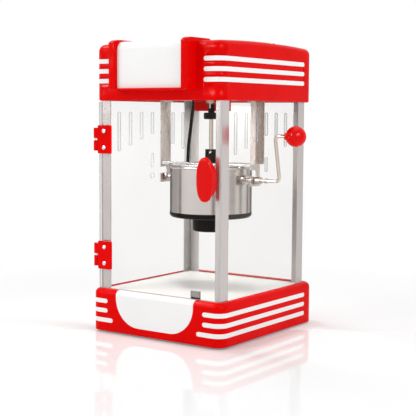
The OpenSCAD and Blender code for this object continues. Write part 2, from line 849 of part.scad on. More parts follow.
module door_glass() {
    x0 = leaf_x0 + 0.2;
    x1 = post_x;
    color([0.85, 0.87, 0.87, 0.3]) difference() {
        translate([(x0 + x1) / 2, door_back_y, (door_z0 + door_z1) / 2]) rotate([90, 0, 0])
            linear_extrude(door_t) round_rect(x1 - x0, door_z1 - door_z0, 2);
        for (s = [-1, 1]) translate([grip_x, door_back_y + 1, grip_z + s * grip_screw_z])
            rotate([90, 0, 0]) cylinder(r = screw_r + 0.1, h = door_t + 2);
        for (z = [hinge_low_z, hinge_high_z], s = [-1, 1])
            translate([leaf_screw_x, door_back_y + 1, z + s * leaf_screw_z])
                rotate([90, 0, 0]) cylinder(r = screw_r + 0.1, h = door_t + 2);
    }
}

// Oval handle: a smaller foot on the door and a domed oval face in front of it
module door_handle() {
    dome_r = 70;
    color("red") translate([grip_x, door_front_y, grip_z]) difference() {
        rotate([90, 0, 0]) {
            linear_extrude(grip_base_t + eps) oval(grip_foot_w / 2, grip_foot_h / 2);
            intersection() {
                translate([0, 0, grip_base_t]) linear_extrude(grip_front_t) oval(grip_half_w, grip_half_h);
                translate([0, 0, grip_base_t + grip_front_t - dome_r]) sphere(dome_r, $fn = 96);
            }
        }
        for (s = [-1, 1]) translate([0, eps, s * grip_screw_z]) rotate([90, 0, 0])
            cylinder(r = screw_r, h = grip_base_t);
    }
}

module handle_screws() {
    color("silver") for (s = [-1, 1]) translate([grip_x, door_back_y, grip_z + s * grip_screw_z])
        rotate([-90, 0, 0]) pan_screw(door_t + grip_base_t - 0.5, door_gap + 0.8);
}

catch_x = post_x - 43;
catch_w = 16;
strike_t = 0.5;
strike_h = 9;
strike_up = 2;                         // the strike begins this far above the door's lower edge
module door_strike() {
    color("silver") translate([catch_x - catch_w / 2, door_back_y, door_z0 + strike_up])
        cube([catch_w, strike_t, strike_h]);
}

module magnet_catch() {
    y0 = door_back_y + strike_t + air;
    y1 = front_y + post_t;
    color("dimgray") translate([catch_x - catch_w / 2, y0, ledge_z])
        cube([catch_w, y1 - y0, door_z0 + strike_up + strike_h - ledge_z]);
}

// Leaf and barrel on the door; the barrel is the upper half
module door_leaf(z) {
    color("red") difference() {
        union() {
            translate([(leaf_x0 + leaf_x1) / 2, door_front_y, z]) rotate([90, 0, 0])
                linear_extrude(leaf_t) round_rect(leaf_w, leaf_h, 2);
            translate([axis_x, axis_y, z + knuckle_gap / 2]) cylinder(r = barrel_r, h = knuckle_h);
            translate([axis_x, door_front_y - leaf_t, z + knuckle_gap / 2])
                cube([leaf_x0 - axis_x + 4, leaf_t, knuckle_h]);
        }
        translate([axis_x, axis_y, z]) cylinder(r = hinge_pin_r + run_fit, h = knuckle_h + 5);
        for (s = [-1, 1]) translate([leaf_screw_x, door_front_y + 1, z + s * leaf_screw_z])
            rotate([90, 0, 0]) cylinder(r = screw_r, h = leaf_t + 2);
    }
}

// Leaf and barrel on the post; the barrel is the lower half
leaf_side_t = 2.5;
leaf_side_w = 19;
side_screw_y = axis_y + barrel_r + 10.5;
module post_leaf(z) {
    y0 = axis_y + barrel_r + 0.5;
    color("red") difference() {
        union() {
            translate([-post_x, y0 + leaf_side_w / 2, z]) rotate([90, 0, -90])
                linear_extrude(leaf_side_t) round_rect(leaf_side_w, leaf_h, 2);
            translate([axis_x, axis_y, z - knuckle_gap / 2 - knuckle_h]) cylinder(r = barrel_r, h = knuckle_h);
            translate([-post_x - leaf_side_t, axis_y, z - knuckle_gap / 2 - knuckle_h])
                cube([leaf_side_t - 0.7, y0 - axis_y + 4, knuckle_h]);
        }
        translate([axis_x, axis_y, z - knuckle_gap / 2 - knuckle_h - 1])
            cylinder(r = hinge_pin_r, h = knuckle_h + 2);
        for (s = [-1, 1]) translate([-post_x + 1, side_screw_y, z + s * leaf_screw_z])
            rotate([0, -90, 0]) cylinder(r = screw_r, h = leaf_side_t + 2);
    }
}

module upper_door_leaf() { door_leaf(hinge_high_z); }
module lower_door_leaf() { door_leaf(hinge_low_z); }
module upper_post_leaf() { post_leaf(hinge_high_z); }
module lower_post_leaf() { post_leaf(hinge_low_z); }

// Pins with a collar that carries the door's barrel
collar_pin_r = 2.8;
module hinge_pins() {
    color("silver") for (z = [hinge_low_z, hinge_high_z]) translate([axis_x, axis_y, z]) {
        translate([0, 0, -knuckle_gap / 2 - knuckle_h])
            cylinder(r = hinge_pin_r, h = 2 * knuckle_h + knuckle_gap);
        translate([0, 0, -knuckle_gap / 2]) cylinder(r = collar_pin_r, h = knuckle_gap - 0.2);
    }
}

module door_leaf_screws() {
    color("silver") for (z = [hinge_low_z, hinge_high_z], s = [-1, 1])
        translate([leaf_screw_x, door_front_y - leaf_t, z + s * leaf_screw_z])
            rotate([90, 0, 0]) pan_screw(leaf_t + door_t);
}

module post_leaf_screws() {
    color("silver") for (z = [hinge_low_z, hinge_high_z], s = [-1, 1])
        translate([-post_x - leaf_side_t, side_screw_y, z + s * leaf_screw_z])
            rotate([0, -90, 0]) pan_screw(leaf_side_t);
}

// ---- hangers ----

tab_w = 12;
hanger_tab_x = [hanger_left_x + tab_w / 2, hanger_right_x - tab_w / 2];
hanger_nut = 3;                        // the screws reach this far above the ceiling plate
hook_mouth = [5.5, 15.5];              // heights of the hook's mouth above the axis
channel = 9;                           // flange of the right hanger
flange_z = pivot_z + 24;

// Side view of a hanger, y across and z up from the tilting axis: the hook opens to the front
module hanger_outline() {
    slot_r = axle_r + run_fit;
    top = ceiling_z - pivot_z;
    difference() {
        translate([-hanger_w / 2, -hanger_foot]) square([hanger_w, top + hanger_foot]);
        circle(slot_r);
        translate([-slot_r, 0]) square([2 * slot_r, hook_mouth[1] - slot_r]);
        translate([0, hook_mouth[1] - slot_r]) circle(slot_r);
        translate([-hanger_w / 2 - 1, hook_mouth[0]]) square([hanger_w / 2 + 1, hook_mouth[1] - hook_mouth[0]]);
    }
}

module hanger_sheet(x, way) {
    translate([x - hanger_t / 2, kettle_y, pivot_z]) rotate([90, 0, 90])
        linear_extrude(hanger_t) hanger_outline();
    difference() {
        translate([x + min(0, way * tab_w), kettle_y - hanger_w / 2, ceiling_z - hanger_t])
            cube([tab_w, hanger_w, hanger_t]);
        for (s = [-1, 1])
            translate([x + way * tab_w / 2, kettle_y + s * hanger_screw_y, ceiling_z - hanger_t - 1])
            cylinder(r = screw_r, h = hanger_t + 2);
    }
}

module hanger_left() {
    color("silver") hanger_sheet(hanger_left_x, 1);
}

module hanger_right() {
    color("silver") {
        hanger_sheet(hanger_right_x, -1);
        for (y = [kettle_y - hanger_w / 2, kettle_y + hanger_w / 2 - hanger_t])
            translate([hanger_right_x - hanger_t / 2, y, flange_z])
                cube([channel, hanger_t, ceiling_z - flange_z]);
    }
}

module hanger_screws() {
    color("silver") for (x = hanger_tab_x, s = [-1, 1])
        translate([x, kettle_y + s * hanger_screw_y, ceiling_z - hanger_t]) mirror([0, 0, 1])
            pan_screw(hanger_t + ceiling_t + hanger_nut);
}

// ---- stirrer drive ----

shroud_r = 30;
shroud_h = 17;
shroud_t = 2;
shroud_open = 2;                       // the half ring ends this far in front of the kettle's middle

module motor_shroud() {
    color("red") at_kettle(ceiling_z - shroud_h) difference() {
        cylinder(r = shroud_r, h = shroud_h, $fn = 96);
        translate([0, 0, -1]) cylinder(r = shroud_r - shroud_t, h = shroud_h + 2, $fn = 96);
        translate([-shroud_r - 1, -2 * shroud_r - shroud_open, -1])
            cube([2 * shroud_r + 2, 2 * shroud_r, shroud_h + 2]);
    }
}

gearbox_w = 56;
gearbox_d = 46;
gearbox_h = 16;
gearbox_r = 6;
can_r = 20;
can_h = 26;
tail_r = 6;
tail_h = 4;
wheel_z = ceiling_z + ceiling_t + air; // underside of the output wheel

module gear_motor() {
    room = wheel_t + air + wheel_gap;
    color("dimgray") at_kettle(ceiling_z + ceiling_t) difference() {
        union() {
            linear_extrude(gearbox_h) round_rect(gearbox_w, gearbox_d, gearbox_r);
            translate([0, 0, gearbox_h]) cylinder(r = can_r, h = can_h);
            translate([0, 0, gearbox_h + can_h]) cylinder(r = tail_r, h = tail_h);
        }
        translate([0, 0, -1]) cylinder(r = wheel_r + wheel_gap, h = room + 1);
        cylinder(r = shaft_r + run_fit, h = room + pivot_len);
    }
}

module motor_bush() {
    color("silver") at_kettle(ceiling_z - bush_low) difference() {
        cylinder(r = bush_r, h = bush_low + ceiling_t);
        translate([0, 0, -1]) cylinder(r = shaft_r + run_fit, h = bush_low + ceiling_t + 2);
    }
}

// The motor's output: wheel, shaft and a flat tang that lies along Y, the way the kettle tips
module drive_dog() {
    tang_z0 = neck_z1 - tang_in;
    dog_z0 = neck_z1 + dog_over;
    color("silver") at_kettle() {
        translate([0, 0, dog_z0]) cylinder(r = shaft_r, h = wheel_z + wheel_t + pivot_len - dog_z0);
        translate([0, 0, wheel_z]) cylinder(r = wheel_r, h = wheel_t);
        translate([-tang_t / 2, -tang_half_w, tang_z0]) intersection() {
            cube([tang_t, 2 * tang_half_w, tang_in + tang_over]);
            translate([tang_t / 2, tang_half_w, -1]) cylinder(r = tang_half_w, h = tang_in + tang_over + 2);
        }
    }
}

// Long steel shaft that stands on the stirrer's rod and tips with the kettle
module drive_shaft() {
    color("silver") at_kettle(rod_top_z) cylinder(r = shaft_r, h = neck_z0 - 1 - rod_top_z);
}

// Disc at the shaft's upper end, with a neck that is slotted for the motor's tang
disc_h = 10;
module drive_disc() {
    edge = 1;
    color("black") at_kettle() difference() {
        rotate_extrude() {
            translate([0, disc_z - disc_h / 2]) square([disc_r - edge, disc_h]);
            translate([0, disc_z - disc_h / 2 + edge]) square([disc_r, disc_h - 2 * edge]);
            for (s = [-1, 1]) intersection() {
                translate([disc_r - edge, disc_z + s * (disc_h / 2 - edge)]) circle(edge);
                translate([0, disc_z - disc_h / 2]) square([disc_r, disc_h]);
            }
            translate([0, disc_z]) square([neck_r, neck_z1 - disc_z]);
        }
        translate([0, 0, disc_z - disc_h]) cylinder(r = shaft_r, h = neck_z0 - 1 - disc_z + disc_h);
        translate([-tang_t / 2 - seat, -neck_r - 1, neck_z0])
            cube([tang_t + 2 * seat, 2 * neck_r + 2, tang_in + tang_room + 1]);
    }
}

// Clamp hub that joins the shaft to the stirrer's rod; the saw cut lies along Y
module stirrer_hub() {
    color("black") at_kettle() difference() {
        translate([0, 0, hub_z0]) cylinder(r1 = hub_r + 0.5, r2 = hub_r, h = hub_z1 - hub_z0);
        translate([-split_w / 2, -2 * hub_r, split_z0]) cube([split_w, 4 * hub_r, hub_h]);
        translate([0, 0, hub_z0 - 1]) cylinder(r = rod_r, h = rod_top_z - hub_z0 + 1);
        translate([0, 0, rod_top_z - eps]) cylinder(r = shaft_r, h = hub_z1 - rod_top_z + 1);
    }
}

blade_z = pot_z + kettle_t + 1.5;
arm_r = 2.2;
arm_z = blade_z + arm_r + 0.3;
blade_in = 8;                          // the blades begin this far from the rod
blade_t = 1.6;
blade_h = 9;
module stirrer_rod() {
    reach = kettle_r - kettle_t - 8;
    color("silver") at_kettle() {
        translate([0, 0, blade_z]) cylinder(r = rod_r, h = rod_top_z - blade_z);
        translate([-reach, 0, arm_z]) rotate([0, 90, 0]) cylinder(r = arm_r, h = 2 * reach);
        for (m = [0, 1]) mirror([m, 0, 0])
            translate([blade_in, -blade_t / 2, arm_z - 1]) cube([reach - blade_in - 2, blade_t, blade_h]);
    }
}

// ---- kettle ----

weld_r = 7;                            // bosses that carry the axles
weld_len = 3;

module kettle_pot() {
    edge_r = 5;
    color("silver") difference() {
        union() {
            at_kettle(pot_z) rotate_extrude($fn = 96) difference() {
                union() {
                    square([kettle_r, kettle_h - bead_r]);
                    translate([kettle_r, kettle_h - bead_r]) circle(bead_r);
                    translate([kettle_r - kettle_t, kettle_h - bead_r]) square([kettle_t, bead_r]);
                }
                translate([-1, kettle_t]) square([kettle_r - kettle_t - edge_r + 1, kettle_h]);
                translate([-1, kettle_t + edge_r]) square([kettle_r - kettle_t + 1, kettle_h]);
                translate([kettle_r - kettle_t - edge_r, kettle_t + edge_r]) circle(edge_r);
            }
            tilt_pin(weld_r, kettle_x - kettle_r - weld_len, kettle_x - kettle_r + kettle_t);
            tilt_pin(weld_r, kettle_x + kettle_r - kettle_t, kettle_x + kettle_r + weld_len);
        }
        at_kettle(pot_z + kettle_t) cylinder(r = kettle_r - kettle_t - 3.2, h = kettle_h);
    }
}

// Bar over the kettle's mouth: guides the stirrer and carries the lids' hinges
module lid_bar() {
    x0 = pot_gap_left + 1;
    x1 = pot_gap_right - 1;
    skirt = 1.2;
    top_t = 1.5;
    arm_t = 1.2;                       // sheet that reaches from the bar to a curl
    color("silver") difference() {
        union() {
            translate([x0, kettle_y - bar_w / 2, bar_top_z - top_t]) cube([x1 - x0, bar_w, top_t]);
            for (s = [-1, 1]) translate([x0, kettle_y + s * (bar_w - skirt) / 2 - skirt / 2, rim_z])
                cube([x1 - x0, skirt, bar_t]);
            at_kettle(rim_z) cylinder(r = rod_r + 4, h = bar_t);
            for (m = [-1, 1], s = [-1, 1], x = bar_curl_x) at_kettle() {
                translate([m * x - curl_len / 2, s * lid_axis_y, lid_axis_z]) rotate([0, 90, 0])
                    cylinder(r = curl_r, h = curl_len);
                translate([m * x - curl_len / 2, s * (lid_axis_y + bar_w / 2 - 1) / 2 - 2, 0])
                    translate([0, 0, lid_axis_z - arm_t / 2]) cube([curl_len, 4, arm_t]);
            }
        }
        at_kettle(rim_z - 1) cylinder(r = rod_r + run_fit, h = bar_t + 2);
        for (s = [-1, 1]) at_kettle(lid_axis_z) translate([-big / 2, s * lid_axis_y, 0]) rotate([0, 90, 0])
            cylinder(r = lid_rod_r, h = big);
    }
}

module lid_rods() {
    half = bar_curl_x[1] + curl_len / 2;
    color("silver") for (s = [-1, 1]) at_kettle(lid_axis_z)
        translate([-half, s * lid_axis_y, 0]) rotate([0, 90, 0]) cylinder(r = lid_rod_r, h = 2 * half);
}

// Half lid on the +Y side: a segment of a disc with a raised lip and two curls on the rod
module half_lid() {
    gap = 0.6;
    z0 = rim_z + air;
    difference() {
        union() {
            intersection() {
                rotate_extrude($fn = 96) {
                    translate([0, z0]) square([lid_r, lid_t]);
                    translate([lid_r - lid_t, z0]) square([lid_t, lid_lip]);
                    translate([0, z0]) square([lid_r - lid_rim_w, 2 * lid_t]);
                }
                translate([-big / 2, lid_axis_y + gap, 0]) cube([big, big, big]);
            }
            for (m = [-1, 1]) translate([m * lid_curl_x - (curl_len - 1) / 2, 0, 0]) {
                translate([0, lid_axis_y, lid_axis_z]) rotate([0, 90, 0])
                    cylinder(r = curl_r, h = curl_len - 1);
                translate([0, lid_axis_y + gap - eps, z0]) cube([curl_len - 1, curl_r + 0.8, lid_axis_z - z0]);
            }
        }
        translate([-big / 2, lid_axis_y, lid_axis_z]) rotate([0, 90, 0])
            cylinder(r = lid_rod_r + run_fit, h = big);
        for (m = [-1, 1], x = bar_curl_x) translate([m * x - curl_len / 2 - air, lid_axis_y, rim_z])
            cube([curl_len + 2 * air, curl_r + 2 * air, 4 * curl_r]);
    }
}

module rear_lid() {
    color("silver") at_kettle() half_lid();
}

module front_lid() {
    color("silver") at_kettle() mirror([0, 1, 0]) half_lid();
}

groove_z = 2.5;                        // floor of the groove that holds the heating element
tube_r = (heater_h - groove_z) / 2;
groove_w = 12;
element_in = 22.5;                     // the heating element lies this far inside the kettle's wall
element_r = kettle_r - element_in;
module heater_base() {
    r = kettle_r + 0.4;
    edge = 5;
    color("black") at_kettle(heater_z) difference() {
        rotate_extrude($fn = 96) {
            square([r - edge, heater_h]);
            translate([0, edge]) square([r, heater_h - edge]);
            intersection() {
                translate([r - edge, edge]) circle(edge);
                square([r, heater_h]);
            }
        }
        rotate_extrude($fn = 96) translate([element_r - groove_w / 2, groove_z]) square([groove_w, heater_h]);
    }
}

module heating_element() {
    color("dimgray") at_kettle(heater_z + groove_z + tube_r) rotate_extrude($fn = 96)
        translate([element_r, 0]) circle(tube_r);
}

module heater_housing() {
    edge = 3;
    color("black") at_kettle(boss_z) rotate_extrude() {
        square([boss_r - edge, boss_h]);
        translate([0, edge]) square([boss_r, boss_h - edge]);
        intersection() {
            translate([boss_r - edge, edge]) circle(edge);
            square([boss_r, boss_h]);
        }
    }
}

collar_r = 5.5;
collar_w = 3;
collar_gap = 1;                        // play of a collar beside its hanger
module axle_left() {
    x0 = hanger_left_x - hanger_t / 2 - collar_gap;
    x1 = hanger_left_x + hanger_t / 2 + collar_gap;
    head_w = 4;
    color("silver") {
        tilt_pin(axle_r, x0 - head_w, kettle_x - kettle_r - weld_len);
        tilt_pin(collar_r, x0 - head_w, x0);
        tilt_pin(collar_r, x1, x1 + collar_w);
    }
}

socket_x = hanger_right_x + hanger_t / 2 + collar_gap;
socket_len = 9;
socket_floor = 3;
module axle_right() {
    x1 = hanger_right_x - hanger_t / 2 - collar_gap;
    color("silver") difference() {
        union() {
            tilt_pin(axle_r, kettle_x + kettle_r + weld_len, socket_x + 1);
            tilt_pin(collar_r, x1 - collar_w, x1);
            tilt_pin(collar_r, socket_x, socket_x + socket_len);
        }
        tilt_pin(crank_r, socket_x + socket_floor, socket_x + socket_len + 1);
    }
}

// Crank: out along the axis, up the leaning arm and out again to the knob
elbow_x = pane_x + 22.4;
elbow_r = 7;
ball_x = elbow_x + ball_out;
module crank_rod() {
    x_in = socket_x + socket_floor;
    color("silver") translate([0, kettle_y, pivot_z]) rotate([crank_lean, 0, 0]) {
        translate([x_in, 0, 0]) rotate([0, 90, 0]) cylinder(r = crank_r, h = elbow_x - elbow_r - x_in);
        translate([elbow_x - elbow_r, 0, elbow_r]) rotate([90, 0, 0])
            rotate([0, 0, -90]) rotate_extrude(angle = 90) translate([elbow_r, 0]) circle(crank_r);
        translate([elbow_x, 0, elbow_r]) cylinder(r = crank_r, h = crank_arm - 2 * elbow_r);
        translate([elbow_x + elbow_r, 0, crank_arm - elbow_r]) rotate([90, 0, 0])
            rotate([0, 0, 90]) rotate_extrude(angle = 90) translate([elbow_r, 0]) circle(crank_r);
        translate([elbow_x + elbow_r, 0, crank_arm]) rotate([0, 90, 0])
            cylinder(r = crank_r, h = ball_x - elbow_x - elbow_r);
    }
}

module ball_knob() {
    collar = 1.5;
    color("red") translate([0, kettle_y, pivot_z]) rotate([crank_lean, 0, 0]) translate([ball_x, 0, crank_arm])
        difference() {
            union() {
                sphere(ball_r);
                rotate([0, -90, 0]) cylinder(r = 5.5, h = ball_r + collar);
            }
            rotate([0, -90, 0]) translate([0, 0, -eps]) cylinder(r = crank_r, h = ball_r + collar + 1);
        }
}

// Insulated lead that hangs from the ceiling behind the kettle and bends into the heater housing
lead_route = concat(
    [for (p = lead_top) lead_at(p, ceiling_z)],
    [for (p = lead_end) lead_at(p, boss_z)]
);

function lead_dir(i) = let (
    a = lead_route[max(0, i - 1)],
    b = lead_route[min(len(lead_route) - 1, i + 1)],
    d = b - a
) d / norm(d);
function lead_side(d) = let (s = cross(d, [0.6, 0.8, 0])) s / norm(s);

module kettle_lead() {
    sides = 10;
    n = len(lead_route);
    pts = [for (i = [0:n - 1], k = [0:sides - 1])
        let (d = lead_dir(i), u = lead_side(d), v = cross(d, u), t = k * 360 / sides)
            lead_route[i] + lead_r * (cos(t) * u + sin(t) * v)];
    rings = [for (i = [0:n - 2], k = [0:sides - 1])
        [i * sides + k, (i + 1) * sides + k, (i + 1) * sides + (k + 1) % sides, i * sides + (k + 1) % sides]];
    caps = [[for (k = [0:sides - 1]) k], [for (k = [sides - 1:-1:0]) (n - 1) * sides + k]];
    color("black") polyhedron(points = pts, faces = concat(rings, caps));
}

base_housing();
front_panel();
base_stripes();
bottom_plate();
case_screws();
rubber_feet();
floor_tray();
post_front_left();
post_front_right();
post_rear_left();
post_rear_right();
side_panel_left();
side_panel_right();
rear_panel();
ceiling_plate();
canopy_shell();
canopy_stripes();
sign_frame();
sign_panel();
switch_housing();
switch_rocker();
cord_gland();
door_glass();
door_handle();
handle_screws();
door_strike();
magnet_catch();
upper_door_leaf();
lower_door_leaf();
upper_post_leaf();
lower_post_leaf();
hinge_pins();
door_leaf_screws();
post_leaf_screws();
hanger_left();
hanger_right();
hanger_screws();
motor_shroud();
gear_motor();
motor_bush();
drive_dog();
drive_shaft();
drive_disc();
stirrer_hub();
stirrer_rod();
kettle_pot();
lid_bar();
front_lid();
rear_lid();
lid_rods();
heater_base();
heating_element();
heater_housing();
axle_left();
axle_right();
crank_rod();
ball_knob();
kettle_lead();
lamp_socket();
lamp_bulb();
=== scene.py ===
"""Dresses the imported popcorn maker.

Every node gets a procedural finish, some forms are modelled here, and the studio has the camera and the
light. The axes are the part's own: X to the right, Y to the back, Z up. The studio is in metres, and the
modelled pieces are in millimetres.
"""

import functools
import logging
import math
from contextlib import contextmanager
from dataclasses import dataclass, replace
from enum import Enum
from itertools import chain, product
from typing import Callable, Iterable, Iterator

import bmesh
import bpy
from mathutils import Matrix, Vector


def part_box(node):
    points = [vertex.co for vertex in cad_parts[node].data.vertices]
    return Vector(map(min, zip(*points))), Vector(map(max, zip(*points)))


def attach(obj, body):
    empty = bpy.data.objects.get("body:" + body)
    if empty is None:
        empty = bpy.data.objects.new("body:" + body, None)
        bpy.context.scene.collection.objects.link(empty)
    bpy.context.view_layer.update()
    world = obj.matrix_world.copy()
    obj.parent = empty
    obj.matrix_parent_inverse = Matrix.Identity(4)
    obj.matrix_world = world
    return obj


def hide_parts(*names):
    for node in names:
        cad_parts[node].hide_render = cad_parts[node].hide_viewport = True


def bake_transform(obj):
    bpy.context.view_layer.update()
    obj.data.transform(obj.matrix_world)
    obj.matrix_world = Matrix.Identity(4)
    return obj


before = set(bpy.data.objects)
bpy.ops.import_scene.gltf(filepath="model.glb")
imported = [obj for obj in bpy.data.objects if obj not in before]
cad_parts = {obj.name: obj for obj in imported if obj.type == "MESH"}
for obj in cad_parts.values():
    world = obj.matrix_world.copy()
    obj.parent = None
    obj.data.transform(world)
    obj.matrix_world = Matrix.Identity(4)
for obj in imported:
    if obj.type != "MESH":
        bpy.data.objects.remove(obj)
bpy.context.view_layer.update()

MM = 0.001
# Points that are nearer to each other than this become one.
WELD = 0.001 * MM
# An edge or face that is nearer to a plane than this lies in it.
NEAR = 0.05
# Most values of a noise lie between these two.
NOISE_LOW, NOISE_HIGH = 0.3, 0.7
WHITE_LIGHT = (1.0, 1.0, 1.0, 1.0)
log = logging.getLogger("popcorn_maker")
Colour = tuple[float, float, float]
Point = tuple[float, float, float]
Pair = tuple[float, float]
Inputs = dict[str | int, object]


class Axis(Enum):
    """An axis, with its number in a vector."""

    X = 0
    Y = 1
    Z = 2

    def along(self, way: Vector) -> bool:
        """Whether a direction lies along this axis."""
        return abs(way[self.value]) > 0.9

    def across(self, way: Vector) -> bool:
        """Whether a direction lies across this axis."""
        return abs(way[self.value]) < 0.1


@dataclass(frozen=True)
class Extent:
    """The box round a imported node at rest, in millimetres."""

    low: Point
    high: Point

    @classmethod
    def of(cls, node: str) -> "Extent":
        """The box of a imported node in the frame, to a hundredth of a millimetre."""
        return cls(*(tuple(round(value / MM, 2) for value in corner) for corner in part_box(node)))

    @property
    def middle(self) -> Point:
        """The middle of the box."""
        return tuple((a + b) / 2 for a, b in zip(self.low, self.high))

    @property
    def half(self) -> Point:
        """Half the size of the box."""
        return tuple((b - a) / 2 for a, b in zip(self.low, self.high))


STIRRER_AXIS = Extent.of("drive_shaft").middle[:2]


# ---- shader maths ----


class Socket:
    """An output of a shader node, with the arithmetic that adds Math nodes behind it."""

    def __init__(self, kit: "NodeKit", out: bpy.types.NodeSocket | None) -> None:
        """Args:
            kit: the node tree that the output belongs to.
            out: the output socket, or None behind the last node.
        """
        self.kit = kit
        self.out = out

    def math(self, operation: str, a: "Socket | float", b: "Socket | float" = 0.0) -> "Socket":
        """Adds a Math node for an operation on two values, and gives its result."""
        return self.kit.node("Math", {"operation": operation}, {0: a, 1: b})

    def __add__(self, other: "Socket | float") -> "Socket":
        """Returns self + other."""
        return self.math("ADD", self, other)

    def __radd__(self, other: float) -> "Socket":
        """Returns other + self."""
        return self.math("ADD", other, self)

    def __sub__(self, other: "Socket | float") -> "Socket":
        """Returns self - other."""
        return self.math("SUBTRACT", self, other)

    def __rsub__(self, other: float) -> "Socket":
        """Returns other - self."""
        return self.math("SUBTRACT", other, self)

    def __mul__(self, other: "Socket | float") -> "Socket":
        """Returns self * other."""
        return self.math("MULTIPLY", self, other)

    def __rmul__(self, other: float) -> "Socket":
        """Returns other * self."""
        return self.math("MULTIPLY", other, self)

    def __abs__(self) -> "Socket":
        """Returns the value without its sign."""
        return self.math("ABSOLUTE", self)


class NodeKit:
    """The node tree of a material or a world, and the one method that adds nodes to it."""

    def __init__(self, owner: bpy.types.Material | bpy.types.World) -> None:
        """Args:
            owner: the new material or world, whose tree is emptied.
        """
        self.owner = owner
        owner.use_nodes = True
        self.tree = owner.node_tree
        self.tree.nodes.clear()

    def node(
        self,
        kind: str,
        settings: dict[str, object] | None = None,
        inputs: Inputs | None = None,
        output: str | int = 0,
    ) -> Socket:
        """Adds a node, sets it and links it.

        Args:
            kind: the node's type, without the ShaderNode before it.
            settings: its own settings, set before its sockets.
            inputs: a value or a Socket for each named or numbered input.
            output: the output that is wanted.

        Returns:
            That output.
        """
        made = self.tree.nodes.new(f"ShaderNode{kind}")
        for key, value in (settings or {}).items():
            setattr(made, key, value)
        for key, value in (inputs or {}).items():
            if isinstance(value, Socket):
                self.tree.links.new(value.out, made.inputs[key])
            else:
                made.inputs[key].default_value = value
        return Socket(self, made.outputs[output] if made.outputs else None)

    def place(self, stretch: Point = (1.0, 1.0, 1.0)) -> Socket:
        """Object coordinates, stretched by a factor along each axis."""
        at = self.node("TexCoord", output="Object")
        return self.node("Mapping", inputs={"Vector": at, "Scale": stretch})

    def noise(self, per_metre: float, detail: float, stretch: Point = (1.0, 1.0, 1.0)) -> Socket:
        """Noise on stretched object coordinates, with cells per metre and octaves of finer noise."""
        inputs = {"Vector": self.place(stretch), "Scale": per_metre, "Detail": detail}
        return self.node("TexNoise", {"noise_dimensions": "3D"}, inputs)

    def spread(
        self,
        value: Socket,
        low: float = NOISE_LOW,
        high: float = NOISE_HIGH,
        out_low: float = 0.0,
        out_high: float = 1.0,
    ) -> Socket:
        """Maps a value from low and high, by default a noise's, to out_low and out_high, and clamps it."""
        inputs = {"Value": value, "From Min": low, "From Max": high, "To Min": out_low, "To Max": out_high}
        return self.node("MapRange", {"clamp": True}, inputs)

    def blend(self, factor: Socket | float, a: object, b: object) -> Socket:
        """Mixes two colours, or Sockets that give colours: a factor of 0 gives a, and 1 gives b."""
        a, b = ((*colour, 1.0) if isinstance(colour, tuple) else colour for colour in (a, b))
        # The node has sockets for each type of data: inputs 6 and 7 and output 2 are the ones for colours.
        return self.node("Mix", {"data_type": "RGBA"}, {0: factor, 6: a, 7: b}, output=2)

    def relief(self, height: Socket, depth: float, edge: float = 0.0) -> Socket:
        """A normal from a height, on edges that are softened a little.

        Args:
            height: 0 to 1 over the surface.
            depth: metres from 0 to 1.
            edge: radius of the softened edges in metres, or 0 for none.

        Returns:
            The normal.
        """
        inputs: Inputs = {"Height": height, "Distance": depth, "Strength": 1.0}
        if edge:
            inputs["Normal"] = self.node("Bevel", {"samples": 6}, {"Radius": edge})
        return self.node("Bump", inputs=inputs)


# ---- finishes ----


@dataclass(frozen=True)
class Finish:
    """What every finish has: a name, a colour and how it scatters light."""

    name: str
    colour: Colour
    roughness: float
    edge: float = 0.5 * MM
    gloss: float = 0.5

    def nodes(self, kit: NodeKit) -> Inputs:
        """The sockets of the Principled shader. Each kind of finish has its own.

        Args:
            kit: the material's node kit.

        Returns:
            A value or a Socket for each input of the shader.
        """
        raise NotImplementedError

    def tint(self, factor: float, lift: float = 0.0) -> Colour:
        """The finish's colour times a factor, and lifted, with no channel over 1."""
        return tuple(min(1.0, channel * factor + lift) for channel in self.colour)

    @functools.cache
    def build(self) -> bpy.types.Material:
        """Makes the material the first time, and returns the same one after that."""
        kit = NodeKit(bpy.data.materials.new(self.name))
        shader = kit.node("BsdfPrincipled", inputs=self.nodes(kit))
        kit.node("OutputMaterial", inputs={"Surface": shader})
        return kit.owner


@dataclass(frozen=True)
class Moulded(Finish):
    """Moulded plastic or rubber: fine grain, slow flow marks, a few scuffs and a glossy or dull skin."""

    grain: float = 1400.0
    grain_depth: float = 0.012 * MM
    mottle: float = 0.06

    def nodes(self, kit: NodeKit) -> Inputs:
        """See Finish.nodes."""
        grain = kit.noise(self.grain, detail=3.0)
        flow = kit.noise(14.0, detail=2.0)
        wave = kit.noise(55.0, detail=1.0)
        scuff = kit.spread(kit.noise(120.0, detail=6.0, stretch=(1.0, 1.0, 5.0)), 0.62, 0.78)
        darker = self.tint(1.0 - 2.0 * self.mottle)
        lighter = self.tint(1.0 + self.mottle, lift=0.0008)
        tone = kit.blend(kit.spread(flow * 0.7 + grain * 0.3), darker, lighter)
        dullness = kit.spread(flow, out_low=1.0 - self.mottle, out_high=1.0 + self.mottle)
        return {
            "Base Color": kit.blend(scuff * 0.12, tone, self.tint(0.92, lift=0.02)),
            "Roughness": dullness * self.roughness + scuff * 0.08,
            "Specular IOR Level": self.gloss,
            "Normal": kit.relief(grain * 0.35 + wave * 0.65, self.grain_depth, self.edge),
        }


